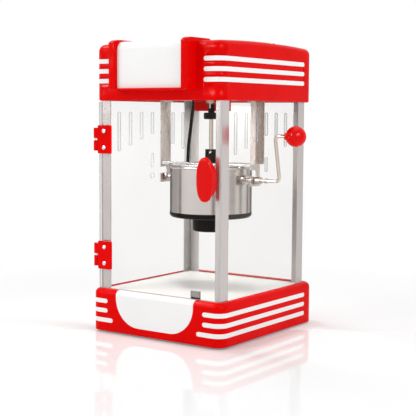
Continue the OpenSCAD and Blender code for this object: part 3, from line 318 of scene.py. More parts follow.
@dataclass(frozen=True)
class Metal(Finish):
    """Metal with fine lines along one way and soft cloudy patches."""

    lines: Point = (60.0, 60.0, 1.0)
    line_depth: float = 0.006 * MM
    cloud: float = 0.08
    metallic: float = 1.0

    def nodes(self, kit: NodeKit) -> Inputs:
        """See Finish.nodes."""
        fine = kit.noise(60.0, detail=4.0, stretch=self.lines)
        cloud = kit.noise(22.0, detail=3.0)
        hair = kit.spread(fine)
        darker, lighter = self.tint(1.0 - self.cloud * 1.6), self.tint(1.0 + self.cloud)
        low, high = self.roughness * 0.8, self.roughness * 1.25
        return {
            "Base Color": kit.blend(hair * 0.6 + cloud * 0.4, darker, lighter),
            "Metallic": self.metallic,
            "Roughness": kit.spread(hair * 0.5 + cloud * 0.5, 0.2, 0.8, low, high),
            "Normal": kit.relief(fine, self.line_depth, self.edge),
        }


@dataclass(frozen=True)
class Enamel(Finish):
    """Baked paint: slight orange peel and patches of dust."""

    peel_depth: float = 0.03 * MM

    def nodes(self, kit: NodeKit) -> Inputs:
        """See Finish.nodes."""
        peel = kit.noise(420.0, detail=2.0)
        dust = kit.spread(kit.noise(60.0, detail=5.0), 0.5, 0.75)
        return {
            "Base Color": kit.blend(dust * 0.35, self.colour, self.tint(1.02, lift=0.004)),
            "Specular IOR Level": self.gloss,
            "Roughness": dust * 0.12 + self.roughness,
            "Normal": kit.relief(peel, self.peel_depth, self.edge),
        }


@dataclass(frozen=True)
class ClearSheet(Finish):
    """Clear sheet: nearly invisible face on, a little less clear at a slant, frosted at its cut edges."""

    way: Axis = Axis.Y
    clear: float = 0.10
    cut: float = 0.62
    frost_dark: Colour = (0.30, 0.31, 0.32)
    frost_light: Colour = (0.62, 0.63, 0.64)

    def nodes(self, kit: NodeKit) -> Inputs:
        """See Finish.nodes."""
        normal = kit.node("TexCoord", output="Normal")
        across = kit.node("SeparateXYZ", inputs={"Vector": normal}, output=self.way.name)
        side = kit.spread(abs(across), 0.9, 0.4)
        slant = kit.node("LayerWeight", inputs={"Blend": 0.35}, output="Fresnel")
        haze = kit.spread(kit.noise(9.0, detail=3.0), 0.35, 0.7)
        saw = kit.noise(300.0, detail=3.0, stretch=(1.0, 1.0, 0.1))
        face = haze * 0.010 + self.clear + slant * 0.02
        frost = kit.blend(saw, self.frost_dark, self.frost_light)
        return {
            "Base Color": kit.blend(side, self.colour, frost),
            "Roughness": kit.spread(side, 0.0, 1.0, self.roughness, 0.5),
            "Specular IOR Level": self.gloss,
            "Alpha": face * (1.0 - side) + side * self.cut,
            "Normal": kit.relief(saw * side, 0.05 * MM),
        }


RED = Moulded("red_plastic", (0.75, 0.0008, 0.0006), 0.12, gloss=0.035)
KNOB_RED = Moulded("knob_plastic", (0.73, 0.001, 0.0006), 0.07, gloss=0.12, grain=700.0, mottle=0.03)
WHITE = Moulded("white_plastic", (0.88, 0.88, 0.875), 0.28, gloss=0.05, mottle=0.010)
TRAY_WHITE = Moulded("tray_plastic", (0.90, 0.89, 0.86), 0.38, gloss=0.3, mottle=0.015,
                     grain_depth=0.02 * MM)
BLACK = Moulded("black_plastic", (0.003, 0.003, 0.003), 0.30, gloss=0.10, grain=1800.0,
                grain_depth=0.03 * MM)
GREY = Moulded("grey_plastic", (0.18, 0.18, 0.19), 0.5)
RUBBER = Moulded("rubber", (0.006, 0.006, 0.006), 0.5, gloss=0.10, grain=900.0, grain_depth=0.04 * MM)
IVORY = Moulded("lamp_holder_plastic", (0.72, 0.68, 0.58), 0.45)
# Painted light: a darker, half-metallic copy of the front posts' aluminium, so that the rear right post seen
# through the panes shows lamp light.
REAR_RIGHT_POST_LIT_COPY = Metal("aluminium_lit_copy_rear_right", (0.50, 0.465, 0.45), 0.34, lines=(20.0, 20.0, 0.5), line_depth=0.001 * MM,
              cloud=0.03, metallic=0.4)
# Painted light: a lighter, nearly matt copy of the aluminium that brightens the rear left post, whose inner
# leg stays dark behind the panes.
REAR_LEFT_POST_PAINTED_LIGHT = replace(REAR_RIGHT_POST_LIT_COPY, name="aluminium_painted_light_rear_left", colour=(0.74, 0.71, 0.69), roughness=0.40, metallic=0.05)
ALUMINIUM = Metal("aluminium", (0.59, 0.545, 0.53), 0.20, lines=(26.0, 26.0, 0.5), line_depth=0.0012 * MM,
                  cloud=0.04, metallic=0.8)
SHEET = Metal("plated_sheet", (0.56, 0.50, 0.465), 0.28, lines=(7.0, 7.0, 1.0), line_depth=0.0015 * MM,
              cloud=0.04)
POT = Metal("spun_steel", (0.60, 0.555, 0.53), 0.20, lines=(0.6, 0.6, 22.0), line_depth=0.0008 * MM,
            cloud=0.035, edge=0.3 * MM)
BRIGHT = Metal("polished_steel", (0.66, 0.58, 0.49), 0.14, lines=(4.0, 4.0, 30.0), line_depth=0.002 * MM)
LID = Metal("lid_steel", (0.68, 0.67, 0.66), 0.2, lines=(2.0, 40.0, 40.0))
ZINC = Metal("zinc_plate", (0.62, 0.63, 0.64), 0.3, lines=(6.0, 6.0, 6.0), edge=0.2 * MM)
SHEATH = Metal("element_sheath", (0.25, 0.23, 0.22), 0.45, lines=(20.0, 20.0, 20.0))
CEILING = Enamel("ceiling_paint", (0.62, 0.62, 0.61), 0.4)
HEATER = Enamel("heater_enamel", (0.002, 0.002, 0.0018), 0.30, edge=0.6 * MM, gloss=0.08)
DOOR_SHEET = ClearSheet("clear_door", (0.22, 0.19, 0.16), 0.04, clear=0.012, gloss=0.05)
REAR_SHEET = ClearSheet("clear_rear", (0.50, 0.45, 0.39), 0.05, clear=0.045, gloss=0.05)
SIDE_SHEET = replace(REAR_SHEET, name="clear_side", way=Axis.X, clear=0.035)
BULB = ClearSheet("bulb_glass", (0.95, 0.88, 0.70), 0.2, clear=0.45, cut=0.6)

FINISH_OF: dict[Finish, tuple[str, ...]] = {
    RED: ("base_housing", "canopy_shell", "sign_frame", "switch_housing", "switch_rocker", "motor_shroud",
          "door_handle", "upper_door_leaf", "lower_door_leaf", "upper_post_leaf", "lower_post_leaf"),
    WHITE: ("front_panel", "base_stripes", "canopy_stripes", "sign_panel"),
    TRAY_WHITE: ("floor_tray",),
    KNOB_RED: ("ball_knob",),
    BLACK: ("cord_gland", "drive_disc", "stirrer_hub", "magnet_catch"),
    GREY: ("bottom_plate", "gear_motor"),
    RUBBER: ("rubber_feet", "kettle_lead"),
    IVORY: ("lamp_socket",),
    ALUMINIUM: ("post_front_left", "post_front_right"),
    REAR_RIGHT_POST_LIT_COPY: ("post_rear_right",),
    REAR_LEFT_POST_PAINTED_LIGHT: ("post_rear_left",),
    SHEET: ("hanger_left", "hanger_right", "axle_left", "axle_right"),
    POT: ("kettle_pot",),
    LID: ("lid_bar", "front_lid", "rear_lid"),
    BRIGHT: ("crank_rod", "drive_shaft", "drive_dog", "motor_bush", "stirrer_rod"),
    ZINC: ("case_screws", "handle_screws", "hinge_pins", "door_leaf_screws", "post_leaf_screws",
           "hanger_screws", "lid_rods"),
    SHEATH: ("heating_element", "door_strike"),
    CEILING: ("ceiling_plate",),
    HEATER: ("heater_base", "heater_housing"),
    DOOR_SHEET: ("door_glass",),
    REAR_SHEET: ("rear_panel",),
    SIDE_SHEET: ("side_panel_left", "side_panel_right"),
    BULB: ("lamp_bulb",),
}


def dress_nodes() -> None:
    """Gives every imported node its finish."""
    for finish, nodes in FINISH_OF.items():
        material = finish.build()
        for name in nodes:
            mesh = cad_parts[name].data
            mesh.materials.clear()
            mesh.materials.append(material)
        log.info("finish %s on %d nodes", finish.name, len(nodes))


# ---- studio ----


@dataclass
class Studio:
    """White surroundings, soft lamps, bright and dark cards, a pale floor and the camera. In metres."""

    focal: float = 1034.157
    frame_width: int = 416
    sensor: float = 36.0
    azimuth: float = 35.0524
    pitch: float = 5.1399
    roll: float = 0.3516
    eye: Point = (0.91146, -1.29161, 0.32296)
    floor_z: float = -2.6 * MM
    floor_size: float = 9.0
    heart: float = 0.22
    high_card: float = 0.6
    card_light: tuple[float, ...] = (1.0, 0.99, 0.98, 1.0)
    card_floor: float = 0.002
    daylight: float = 0.60
    mirror_front: Pair = (0.02, 0.10)
    mirror_round: Pair = (0.66, 0.18)
    fade_round: Pair = (0.20, 0.72)
    fade_least: float = 0.15

    def build(self) -> None:
        """Makes the camera, the world, the lamps, the cards and the floor."""
        bpy.context.scene.view_settings.view_transform = "Standard"
        self.camera()
        self.world()
        for name, y, power in (("inside_front", -0.088, 0.40), ("inside_rear", 0.088, 0.32)):
            self.lamp(name, at=(0.0, y, 0.336), target=(0.0, y, 0.0), size=0.05, power=power, hidden=True)
        heart = (0.0, 0.0, self.heart)
        self.lamp("key", at=(-1.3, -1.7, 1.5), target=heart, size=1.3, power=20.0)
        self.lamp("side", at=(1.9, -0.4, 1.1), target=heart, size=1.2, power=12.0)
        self.lamp("top", at=(0.1, 0.2, 2.2), target=(0.0, 0.0, 0.2), size=1.6, power=10.0)
        self.card("window_front", (-1.33, -1.78, 0.55), width=0.56, height=0.14, strength=7.0)
        self.card("window_left", self.around(-57.0, 2.0, 1.12), width=0.85, height=0.75, strength=22.0)
        self.card("window_right", self.around(23.0, 2.0, 1.16), width=0.80, height=0.75, strength=18.0)
        self.card("window_high", (-1.15, -0.35, 1.75), width=0.50, height=0.50, strength=24.0)
        for name, degrees in (("dark_rear_left", -158.0), ("dark_rear_right", 158.0)):
            self.card(name, self.around(degrees, 1.3, -0.02), width=1.0, height=0.62, strength=0.12)
        for name, degrees, width, strength in (
            ("grey_left", -119.0, 0.74, 0.50),
            ("grey_right", 61.0, 0.42, 0.52),
            ("dark_right", 89.5, 0.18, 0.18),
        ):
            self.card(name, self.around(degrees, 1.3, 0.30), width, height=1.2, strength=strength)
        self.floor()

    def camera(self) -> None:
        """Places the camera from its azimuth, pitch and roll."""
        az, down, roll = (math.radians(angle) for angle in (self.azimuth, self.pitch, self.roll))
        level = math.cos(down)
        ahead = Vector((-math.sin(az) * level, math.cos(az) * level, -math.sin(down)))
        right = Vector((math.cos(az), math.sin(az), 0.0))
        up = right.cross(ahead)
        side = right * math.cos(roll) + up * math.sin(roll)
        top = up * math.cos(roll) - right * math.sin(roll)
        data = bpy.data.cameras.new("camera")
        data.sensor_width = self.sensor
        data.lens = self.focal * self.sensor / self.frame_width
        data.clip_start = 0.05
        data.clip_end = 50.0
        camera = bpy.data.objects.new("camera", data)
        turn = Matrix((side, top, -ahead)).transposed().to_4x4()
        camera.matrix_world = Matrix.Translation(self.eye) @ turn
        bpy.context.scene.collection.objects.link(camera)
        bpy.context.scene.camera = camera

    def world(self) -> None:
        """White to the camera, to reflections and through glass, and softer as a light."""
        kit = NodeKit(bpy.data.worlds.new("studio"))
        bpy.context.scene.world = kit.owner
        rays = ("Camera", "Glossy", "Transmission")
        seen, mirrored, through = (kit.node("LightPath", output=f"Is {ray} Ray") for ray in rays)
        strength = kit.spread(seen + mirrored + through, 0.0, 1.0, out_low=self.daylight)
        light = kit.node("Background", inputs={"Color": WHITE_LIGHT, "Strength": strength})
        kit.node("OutputWorld", inputs={"Surface": light})

    def lamp(
        self, name: str, at: Point, target: Point, size: float, power: float, hidden: bool = False
    ) -> None:
        """Adds a square soft lamp.

        Args:
            name: the lamp's name.
            at: where it stands.
            target: what it points at.
            size: length of its side in metres.
            power: its power in watts.
            hidden: True for a lamp that reflections don't show.
        """
        data = bpy.data.lights.new(name, "AREA")
        data.size = size
        data.energy = power
        lamp = bpy.data.objects.new(name, data)
        lamp.visible_glossy = not hidden
        aim = Vector(target) - Vector(at)
        lamp.matrix_world = Matrix.Translation(at) @ aim.to_track_quat("-Z", "Y").to_matrix().to_4x4()
        bpy.context.scene.collection.objects.link(lamp)

    def around(self, degrees: float, distance: float, height: float) -> Point:
        """A place round the object, at an angle to the right of the camera, a distance and a height."""
        turn = math.radians(self.azimuth + degrees)
        return (math.sin(turn) * distance, -math.cos(turn) * distance, height)

    def card(self, name: str, at: Point, width: float, height: float, strength: float) -> None:
        """Adds a bright or dark card that only reflections show, and not those that come up from the floor.

        Args:
            name: the card's name.
            at: its middle.
            width: its width.
            height: its height.
            strength: how bright it is, where 1 is white.
        """
        deselect()
        bpy.ops.mesh.primitive_plane_add(size=1.0, location=at)
        card = bpy.context.object
        card.name = name
        aim = Vector((0.0, 0.0, self.heart if at[2] > self.high_card else at[2])) - Vector(at)
        card.rotation_euler = aim.to_track_quat("Z", "Y").to_euler()
        card.scale = (width, height, 1.0)
        kit = NodeKit(bpy.data.materials.new(name))
        # A ray's start is its end plus its length times the way back. A card lets rays from the floor pass.
        shine = kit.node("Emission", inputs={"Color": self.card_light, "Strength": strength})
        position = kit.node("NewGeometry", output="Position")
        back = kit.node("NewGeometry", output="Incoming")
        length = kit.node("LightPath", output="Ray Length")
        steps = {0: back, 1: length, 2: position}
        source = kit.node("VectorMath", {"operation": "MULTIPLY_ADD"}, steps, output="Vector")
        source_height = kit.node("SeparateXYZ", inputs={0: source}, output="Z")
        from_floor = kit.spread(source_height, self.card_floor, 0.0)
        clear = kit.node("BsdfTransparent")
        shade = kit.node("MixShader", inputs={0: from_floor, 1: shine, 2: clear})
        kit.node("OutputMaterial", inputs={"Surface": shade})
        card.data.materials.append(kit.owner)
        for ray in ("camera", "diffuse", "transmission", "volume_scatter", "shadow"):
            setattr(card, f"visible_{ray}", False)

    def floor(self) -> None:
        """A pale glossy floor that fades into the white surroundings."""
        deselect()
        bpy.ops.mesh.primitive_plane_add(size=self.floor_size, location=(0.0, 0.0, self.floor_z))
        floor = bpy.context.object
        floor.name = "floor"
        kit = NodeKit(bpy.data.materials.new("floor"))
        at = kit.place()
        away = kit.node("VectorMath", {"operation": "LENGTH"}, {0: at}, output="Value")
        ahead = self.around(0.0, 1.0, 0.0)
        dot = {"operation": "DOT_PRODUCT"}
        front = kit.node("VectorMath", dot, {0: at, 1: ahead}, output="Value")
        polish = kit.spread(front, *self.mirror_front) * kit.spread(away, *self.mirror_round)
        wear = kit.spread(kit.noise(7.0, detail=3.0), out_low=0.03, out_high=0.06)
        inputs = {
            "Base Color": kit.blend(polish, (0.93, 0.93, 0.93), (0.85, 0.85, 0.85)),
            "Roughness": kit.spread(polish, 0.0, 0.15, 0.9, 0.0) + wear,
            "Specular IOR Level": 0.4,
        }
        gloss = kit.node("BsdfPrincipled", inputs=inputs)
        glow = kit.node("Emission", inputs={"Color": WHITE_LIGHT, "Strength": 1.0})
        fade = kit.spread(away, *self.fade_round, out_low=self.fade_least)
        mixed = kit.node("MixShader", inputs={0: fade, 1: gloss, 2: glow})
        kit.node("OutputMaterial", inputs={"Surface": mixed})
        floor.data.materials.append(kit.owner)


# ---- bench tools ----


def deselect() -> None:
    """Leaves nothing selected."""
    if bpy.context.mode != "OBJECT":
        bpy.ops.object.mode_set(mode="OBJECT")
    bpy.ops.object.select_all(action="DESELECT")


def take(body: bpy.types.Object) -> None:
    """Makes an object the only selected one, and the active one.

    Args:
        body: the object.
    """
    deselect()
    body.select_set(True)
    bpy.context.view_layer.objects.active = body


class Kind(Enum):
    """What a pick takes hold of."""

    EDGES = "EDGE"
    FACES = "FACE"


Test = Callable[[Vector, Vector], bool]


class Piece:
    """A mesh on the bench, in millimetres: started from a primitive and shaped by operators in edit mode."""

    def __init__(self, name: str, body: bpy.types.Object) -> None:
        """Args:
            name: the piece's name.
            body: the new mesh object, the only one selected.
        """
        self.body = body
        body.name = name
        bpy.ops.object.transform_apply(location=True, rotation=True, scale=True)

    @classmethod
    def block(cls, name: str, low: Point, high: Point) -> "Piece":
        """Starts from a cube.

        Args:
            name: the piece's name.
            low: its lowest corner.
            high: its highest corner.

        Returns:
            The piece.
        """
        deselect()
        low_at, high_at = Vector(low) * MM, Vector(high) * MM
        bpy.ops.mesh.primitive_cube_add(size=1.0, location=(low_at + high_at) / 2, scale=high_at - low_at)
        return cls(name, bpy.context.object)

    @classmethod
    def rod(cls, name: str, start: Point, end: Point, radius: float, sides: int) -> "Piece":
        """Starts from a cylinder between two points.

        Args:
            name: the piece's name.
            start: the middle of one end.
            end: the middle of the other end.
            radius: its radius.
            sides: how many sides it has.

        Returns:
            The piece.
        """
        deselect()
        a, b = Vector(start) * MM, Vector(end) * MM
        turn = (b - a).to_track_quat("Z", "Y").to_euler()
        bpy.ops.mesh.primitive_cylinder_add(
            vertices=sides, radius=radius * MM, depth=(b - a).length, location=(a + b) / 2, rotation=turn
        )
        return cls(name, bpy.context.object)

    @classmethod
    def copy_of(cls, name: str, node: str) -> "Piece":
        """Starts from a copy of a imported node's mesh, with its loose triangles merged.

        Args:
            name: the piece's name.
            node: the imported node.

        Returns:
            The piece.
        """
        body = bpy.data.objects.new(name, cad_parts[node].data.copy())
        bpy.context.scene.collection.objects.link(body)
        take(body)
        piece = cls(name, body)
        with piece.edit():
            bpy.ops.mesh.select_all(action="SELECT")
            bpy.ops.mesh.remove_doubles(threshold=WELD)
        return piece

    @contextmanager
    def edit(self) -> Iterator[bmesh.types.BMesh]:
        """Edit mode on this piece, with its mesh."""
        take(self.body)
        bpy.ops.object.mode_set(mode="EDIT")
        yield bmesh.from_edit_mesh(self.body.data)
        bpy.ops.object.mode_set(mode="OBJECT")

    def pick(self, mesh: bmesh.types.BMesh, kind: Kind, test: Test) -> None:
        """Selects what passes a test, and nothing else.

        Args:
            mesh: the mesh in edit mode.
            kind: edges or faces.
            test: takes a middle in millimetres, and a face's normal or an edge's direction.
        """
        bpy.ops.mesh.select_mode(type=kind.value)
        bpy.ops.mesh.select_all(action="DESELECT")
        for item in mesh.edges if kind is Kind.EDGES else mesh.faces:
            if kind is Kind.EDGES:
                start, end = (vertex.co for vertex in item.verts)
                middle, way = (start + end) / 2, (end - start).normalized()
            else:
                middle, way = item.calc_center_median(), item.normal
            if test(middle / MM, way):
                item.select_set(True)
        mesh.select_flush_mode()
        bmesh.update_edit_mesh(self.body.data)

    def bevel(self, test: Test, width: float, steps: int) -> "Piece":
        """Rounds the edges that pass a test.

        Args:
            test: takes an edge's middle and direction.
            width: radius of the rounding.
            steps: segments of the rounding.

        Returns:
            The piece.
        """
        with self.edit() as mesh:
            self.pick(mesh, Kind.EDGES, test)
            bpy.ops.mesh.bevel(offset=width * MM, offset_type="OFFSET", segments=steps, profile=0.5)
        return self

    def extrude(self, test: Test, move: Point) -> "Piece":
        """Extrudes the faces that pass a test.

        Args:
            test: takes a face's middle and normal.
            move: how far and which way.

        Returns:
            The piece.
        """
        with self.edit() as mesh:
            self.pick(mesh, Kind.FACES, test)
            shift = {"value": tuple(Vector(move) * MM)}
            bpy.ops.mesh.extrude_region_move(TRANSFORM_OT_translate=shift)
        return self

    def slice(self, way: Point, places: list[float]) -> "Piece":
        """Cuts edges into the whole mesh along parallel planes.

        Args:
            way: the planes' normal.
            places: where they lie along it.

        Returns:
            The piece.
        """
        for place in places:
            with self.edit():
                bpy.ops.mesh.select_all(action="SELECT")
                bpy.ops.mesh.bisect(plane_co=tuple(Vector(way) * place * MM), plane_no=way)
        return self

    def move(self, shift: Callable[[Vector], Vector]) -> "Piece":
        """Moves every vertex.

        Args:
            shift: takes a place in millimetres and gives the new one.

        Returns:
            The piece.
        """
        for vertex in self.body.data.vertices:
            vertex.co = shift(vertex.co / MM) * MM
        return self

    def cut(self, tool: "Piece") -> "Piece":
        """Takes another piece's shape out of this one.

        Args:
            tool: the other piece, which is used up.

        Returns:
            The piece.
        """
        modifier = self.body.modifiers.new("cut", "BOOLEAN")
        modifier.object = tool.body
        modifier.solver = "EXACT"
        take(self.body)
        bpy.ops.object.modifier_apply(modifier=modifier.name)
        bpy.data.objects.remove(tool.body)
        return self

    def join(self, *others: "Piece") -> "Piece":
        """Makes this and others one piece.

        Args:
            others: the pieces that it takes in.

        Returns:
            The piece.
        """
        take(self.body)
        for other in others:
            other.body.select_set(True)
        bpy.ops.object.join()
        return self

    def copy(self, name: str, change: Matrix) -> "Piece":
        """Copies the piece, with its own mesh.

        Args:
            name: the copy's name.
            change: where the copy goes, in metres.

        Returns:
            The copy.
        """
        body = self.body.copy()
        body.data = self.body.data.copy()
        body.data.transform(change)
        bpy.context.scene.collection.objects.link(body)
        take(body)
        made = Piece(name, body)
        if change.determinant() < 0.0:
            made.outwards()
        return made

    def outwards(self) -> "Piece":
        """Merges doubles and turns every face outwards."""
        with self.edit():
            bpy.ops.mesh.select_mode(type="VERT")
            bpy.ops.mesh.select_all(action="SELECT")
            bpy.ops.mesh.remove_doubles(threshold=WELD)
            bpy.ops.mesh.normals_make_consistent(inside=False)
        return self

    def smooth(self, degrees: float) -> "Piece":
        """Shades the piece smooth where its faces meet at less than an angle.

        Args:
            degrees: the angle.

        Returns:
            The piece.
        """
        take(self.body)
        bpy.ops.object.shade_smooth_by_angle(angle=math.radians(degrees))
        return self

    def done(self, finish: Finish, body: str, node: str, replaces: bool = True) -> None:
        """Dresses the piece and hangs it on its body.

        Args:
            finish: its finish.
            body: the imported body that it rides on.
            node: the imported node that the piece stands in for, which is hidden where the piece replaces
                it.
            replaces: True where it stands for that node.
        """
        self.body.data.materials.clear()
        self.body.data.materials.append(finish.build())
        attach(self.body, body)
        if replaces:
            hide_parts(node)
        log.info("%s rides on %s", self.body.name, body)


def ease(share: float) -> float:
    """Gives a straight climb from 0 to 1 soft ends, and stays at 0 and 1 past them."""
    share = min(1.0, max(0.0, share))
    return share * share * (3.0 - 2.0 * share)


# ---- sub-assemblies ----


@dataclass
class Canopy:
    """The red top: its roof arches from front to back, with a flat seat for the switch."""

    shell: Extent = Extent.of("canopy_shell")
    switch: Extent = Extent.of("switch_housing")
    arch: float = 3.6
    arch_from: float = 405.0
    arch_full: float = 416.0
    seat_margin: Pair = (0.5, 1.1)
    seat_blend: float = 5.0
    rows: int = 30
    row_gap: float = 8.0

    def seat_half(self) -> Pair:
        """Half the width and the depth of the seat."""
        return self.switch.half[0] + self.seat_margin[0], self.switch.half[1] + self.seat_margin[1]

    def rise(self, at: Vector) -> Vector:
        """Where a point goes in the arched roof.

        Args:
            at: the point.

        Returns:
            The new point.
        """
        from_middle = (at.y - self.shell.middle[1]) / self.shell.half[1]
        share = max(0.0, 1.0 - from_middle ** 2)
        grow = ease((at.z - self.arch_from) / (self.arch_full - self.arch_from))
        (x, y, _), (half_x, half_y) = self.switch.middle, self.seat_half()
        off_seat = max(abs(at.x - x) - half_x, abs(at.y - y) - half_y, 0.0)
        return Vector((at.x, at.y, at.z + self.arch * share * grow * ease(off_seat / self.seat_blend)))

    def build(self) -> None:
        """Makes the arched cover."""
        (x, y, _), (half_x, half_y), band = self.switch.middle, self.seat_half(), self.seat_blend
        cuts_x = [x - half_x - band, x - half_x - band / 2, x - half_x, x + half_x, x + half_x + band / 2]
        cuts_y = [y - half_y - band / 2, y + half_y + band / 2, y - half_y, y + half_y]
        rows = [self.shell.low[1] + self.row_gap * (number + 1) for number in range(self.rows)]
        cover = Piece.copy_of("canopy_cover", "canopy_shell").slice((1.0, 0.0, 0.0), cuts_x)
        cover.slice((0.0, 1.0, 0.0), sorted(rows + cuts_y)).move(self.rise).smooth(degrees=40.0)
        cover.done(RED, "cabinet", "canopy_shell")


@dataclass
class SignFrame:
    """The two cheeks and the shelf that hold the bent sign sheet, with softly rounded edges.

    Their backs sink a little into the canopy's wall and roof.
    """

    sign: Extent = Extent.of("sign_frame")
    canopy: Extent = Extent.of("canopy_shell")
    cheek: float = 12.0
    wall_sink: float = 1.5
    roof_sink: float = 1.0
    shelf: float = 3.5
    shelf_step: float = 0.4
    overlap: float = 1.0
    nose: float = 13.0
    chin: float = 5.0
    tail: float = 4.0
    soft: float = 2.4
    lip: float = 1.0

    def __post_init__(self) -> None:
        """Works out the planes of the cheeks."""
        _, self.front, self.low = self.sign.low
        self.outer, self.back, self.high = self.sign.high
        self.inner = self.outer - self.cheek
        self.wall = self.canopy.low[1] + self.wall_sink
        self.roof = self.canopy.high[2] - self.roof_sink

    def build(self) -> None:
        """Makes one cheek, its mirror copy and the shelf, and joins them."""
        low, high = (self.inner, self.front, self.low), (self.outer, self.wall, self.high)
        right = Piece.block("sign_surround", low, high).slice((0.0, 0.0, 1.0), [self.roof])
        right.extrude(
            lambda at, way: Axis.Y.along(way) and at.y > self.wall - NEAR and at.z > self.roof,
            (0.0, self.back - self.wall, 0.0),
        )
        for y, z, radius, steps in (
            (self.front, self.high, self.nose, 7),
            (self.front, self.low, self.chin, 4),
            (self.back, self.high, self.tail, 4),
        ):
            corner = Vector((y, z))
            right.bevel(lambda at, way: Axis.X.along(way) and (at.yz - corner).length < NEAR, radius, steps)
        for x, radius, steps in ((self.outer, self.soft, 4), (self.inner, self.lip, 3)):
            right.bevel(lambda at, way: self.in_sight(at, way) and abs(at.x - x) < NEAR, radius, steps)
        left = right.copy("left", Matrix.Scale(-1.0, 4, (1.0, 0.0, 0.0)))
        reach, front = self.inner + self.overlap, self.front + self.shelf_step
        shelf = Piece.block("shelf", (-reach, front, self.low), (reach, self.wall, self.low + self.shelf))
        shelf.bevel(lambda at, way: Axis.X.along(way) and at.y < front + NEAR, self.lip, steps=3)
        right.join(left, shelf).smooth(degrees=40.0)
        right.done(RED, "cabinet", "sign_frame")

    def in_sight(self, at: Vector, way: Vector) -> bool:
        """Whether an edge across X shows, and doesn't lie in the canopy's wall or roof."""
        return Axis.X.across(way) and (at.y < self.wall - NEAR or at.z > self.roof + NEAR)


@dataclass
class DoorHandle:
    """The red pull: a thick oval pad with a crowned face, on a smaller foot."""

    handle: Extent = Extent.of("door_handle")
    half: Pair = (13.5, 31.0)
    foot: Pair = (12.4, 24.0)
    foot_depth: float = 8.0
    overlap: float = 0.5
    crown: float = 4.2
    back_edge: float = 1.6
    blunt: float = 2.35
    sides: int = 64

    def oval(self, name: str, start: float, end: float, half: Pair) -> Piece:
        """A thick oval plate that faces the front.

        Args:
            name: its name.
            start: where it starts in front of the door.
            end: where it ends.
            half: half its width and height.

        Returns:
            The plate.
        """
        (x, _, z), door = self.handle.middle, self.handle.high[1]
        plate = Piece.rod(name, (x, door - start, z), (x, door - end, z), 1.0, self.sides)

        def stretch(at: Vector) -> Vector:
            """Moves a point of the rod to the oval.

            Args:
                at: the point.

            Returns:
                The place at the same angle on the oval.
            """
            angle = math.atan2(at.z - z, at.x - x)
            power = 2.0 / self.blunt
            wide, high = math.cos(angle), math.sin(angle)
            out_x = math.copysign(abs(wide) ** power, wide) * half[0]
            out_z = math.copysign(abs(high) ** power, high) * half[1]
            return Vector((x + out_x, at.y, z + out_z))

        return plate.move(stretch)

    def build(self) -> None:
        """Makes the foot and the pad, rounds the pad and crowns its face."""
        face, door = self.handle.low[1], self.handle.high[1]
        foot = self.oval("foot", 0.0, self.foot_depth + self.overlap, self.foot)
        pad = self.oval("door_pull", self.foot_depth, door - face, self.half)
        pad.bevel(lambda at, way: Axis.Y.across(way) and at.y < face + NEAR, self.crown, steps=6)
        back = door - self.foot_depth
        pad.bevel(lambda at, way: Axis.Y.across(way) and at.y > back - NEAR, self.back_edge, steps=3)
        pad.join(foot).smooth(degrees=40.0)
        pad.done(KNOB_RED, "door", "door_handle")


@dataclass
class KettleLead:
    """The black insulated lead from the ceiling to the heater housing. The real lead bends as the kettle
    tips; this one keeps one shape.

    Each row of its route has a share of the way from the housing's side to the pot's, an angle round the
    stirrer's axis, and a height over the ceiling's or the housing's lower face.
    """

    ceiling: Extent = Extent.of("ceiling_plate")
    housing: Extent = Extent.of("heater_housing")
    radius: float = 2.6
    pot: float = 62.5
    roundness: int = 5
    steps: int = 6
    bend_from: int = 1
    bend_to: int = 9
    top: tuple[Point, ...] = (
        (1.12, 150.0, 6.0), (1.12, 150.0, -2.0), (1.14, 150.0, -10.0), (1.23, 150.5, -24.0),
        (1.35, 151.0, -46.0), (1.46, 152.0, -70.0), (1.53, 152.0, -94.0),
    )
    end: tuple[Point, ...] = (
        (1.56, 152.0, 82.0), (1.55, 151.0, 58.0), (1.47, 149.0, 38.0), (1.26, 146.0, 22.0),
        (0.94, 145.0, 12.5), (0.55, 145.0, 9.0), (0.25, 147.0, 8.4), (-0.03, 150.0, 8.2),
    )

    def route(self) -> list[Vector]:
        """The points that the lead follows, in millimetres."""
        (axis_x, axis_y), near = STIRRER_AXIS, self.housing.half[0]
        points = []
        for level, rows in ((self.ceiling.low[2], self.top), (self.housing.low[2], self.end)):
            for share, degrees, height in rows:
                out = near + share * (self.pot - near)
                turn = math.radians(degrees)
                across = Vector((math.cos(turn), math.sin(turn))) * out
                points.append(Vector((axis_x + across.x, axis_y + across.y, level + height)))
        return points

    def build(self) -> None:
        """Sweeps a round tube along the route between ceiling and kettle."""
        points = self.route()
        data = bpy.data.curves.new("lead_line", "CURVE")
        data.dimensions = "3D"
        data.bevel_depth = self.radius * MM
        data.bevel_resolution = self.roundness
        data.use_fill_caps = True
        data.resolution_u = self.steps
        line = data.splines.new("BEZIER")
        line.bezier_points.add(len(points) - 1)
        for knot, at in zip(line.bezier_points, points):
            knot.co = at * MM
            knot.handle_left_type = knot.handle_right_type = "AUTO"
        body = bpy.data.objects.new("kettle_cable", data)
        bpy.context.scene.collection.objects.link(body)
        take(body)
        bpy.ops.object.convert(target="MESH")
        piece = Piece("kettle_cable", bpy.context.object).outwards().smooth(degrees=50.0)
        piece.body.data.materials.clear()
        piece.body.data.materials.append(RUBBER.build())
        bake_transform(piece.body)
        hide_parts("kettle_lead")
        log.info("%s bends between cabinet and kettle", piece.body.name)


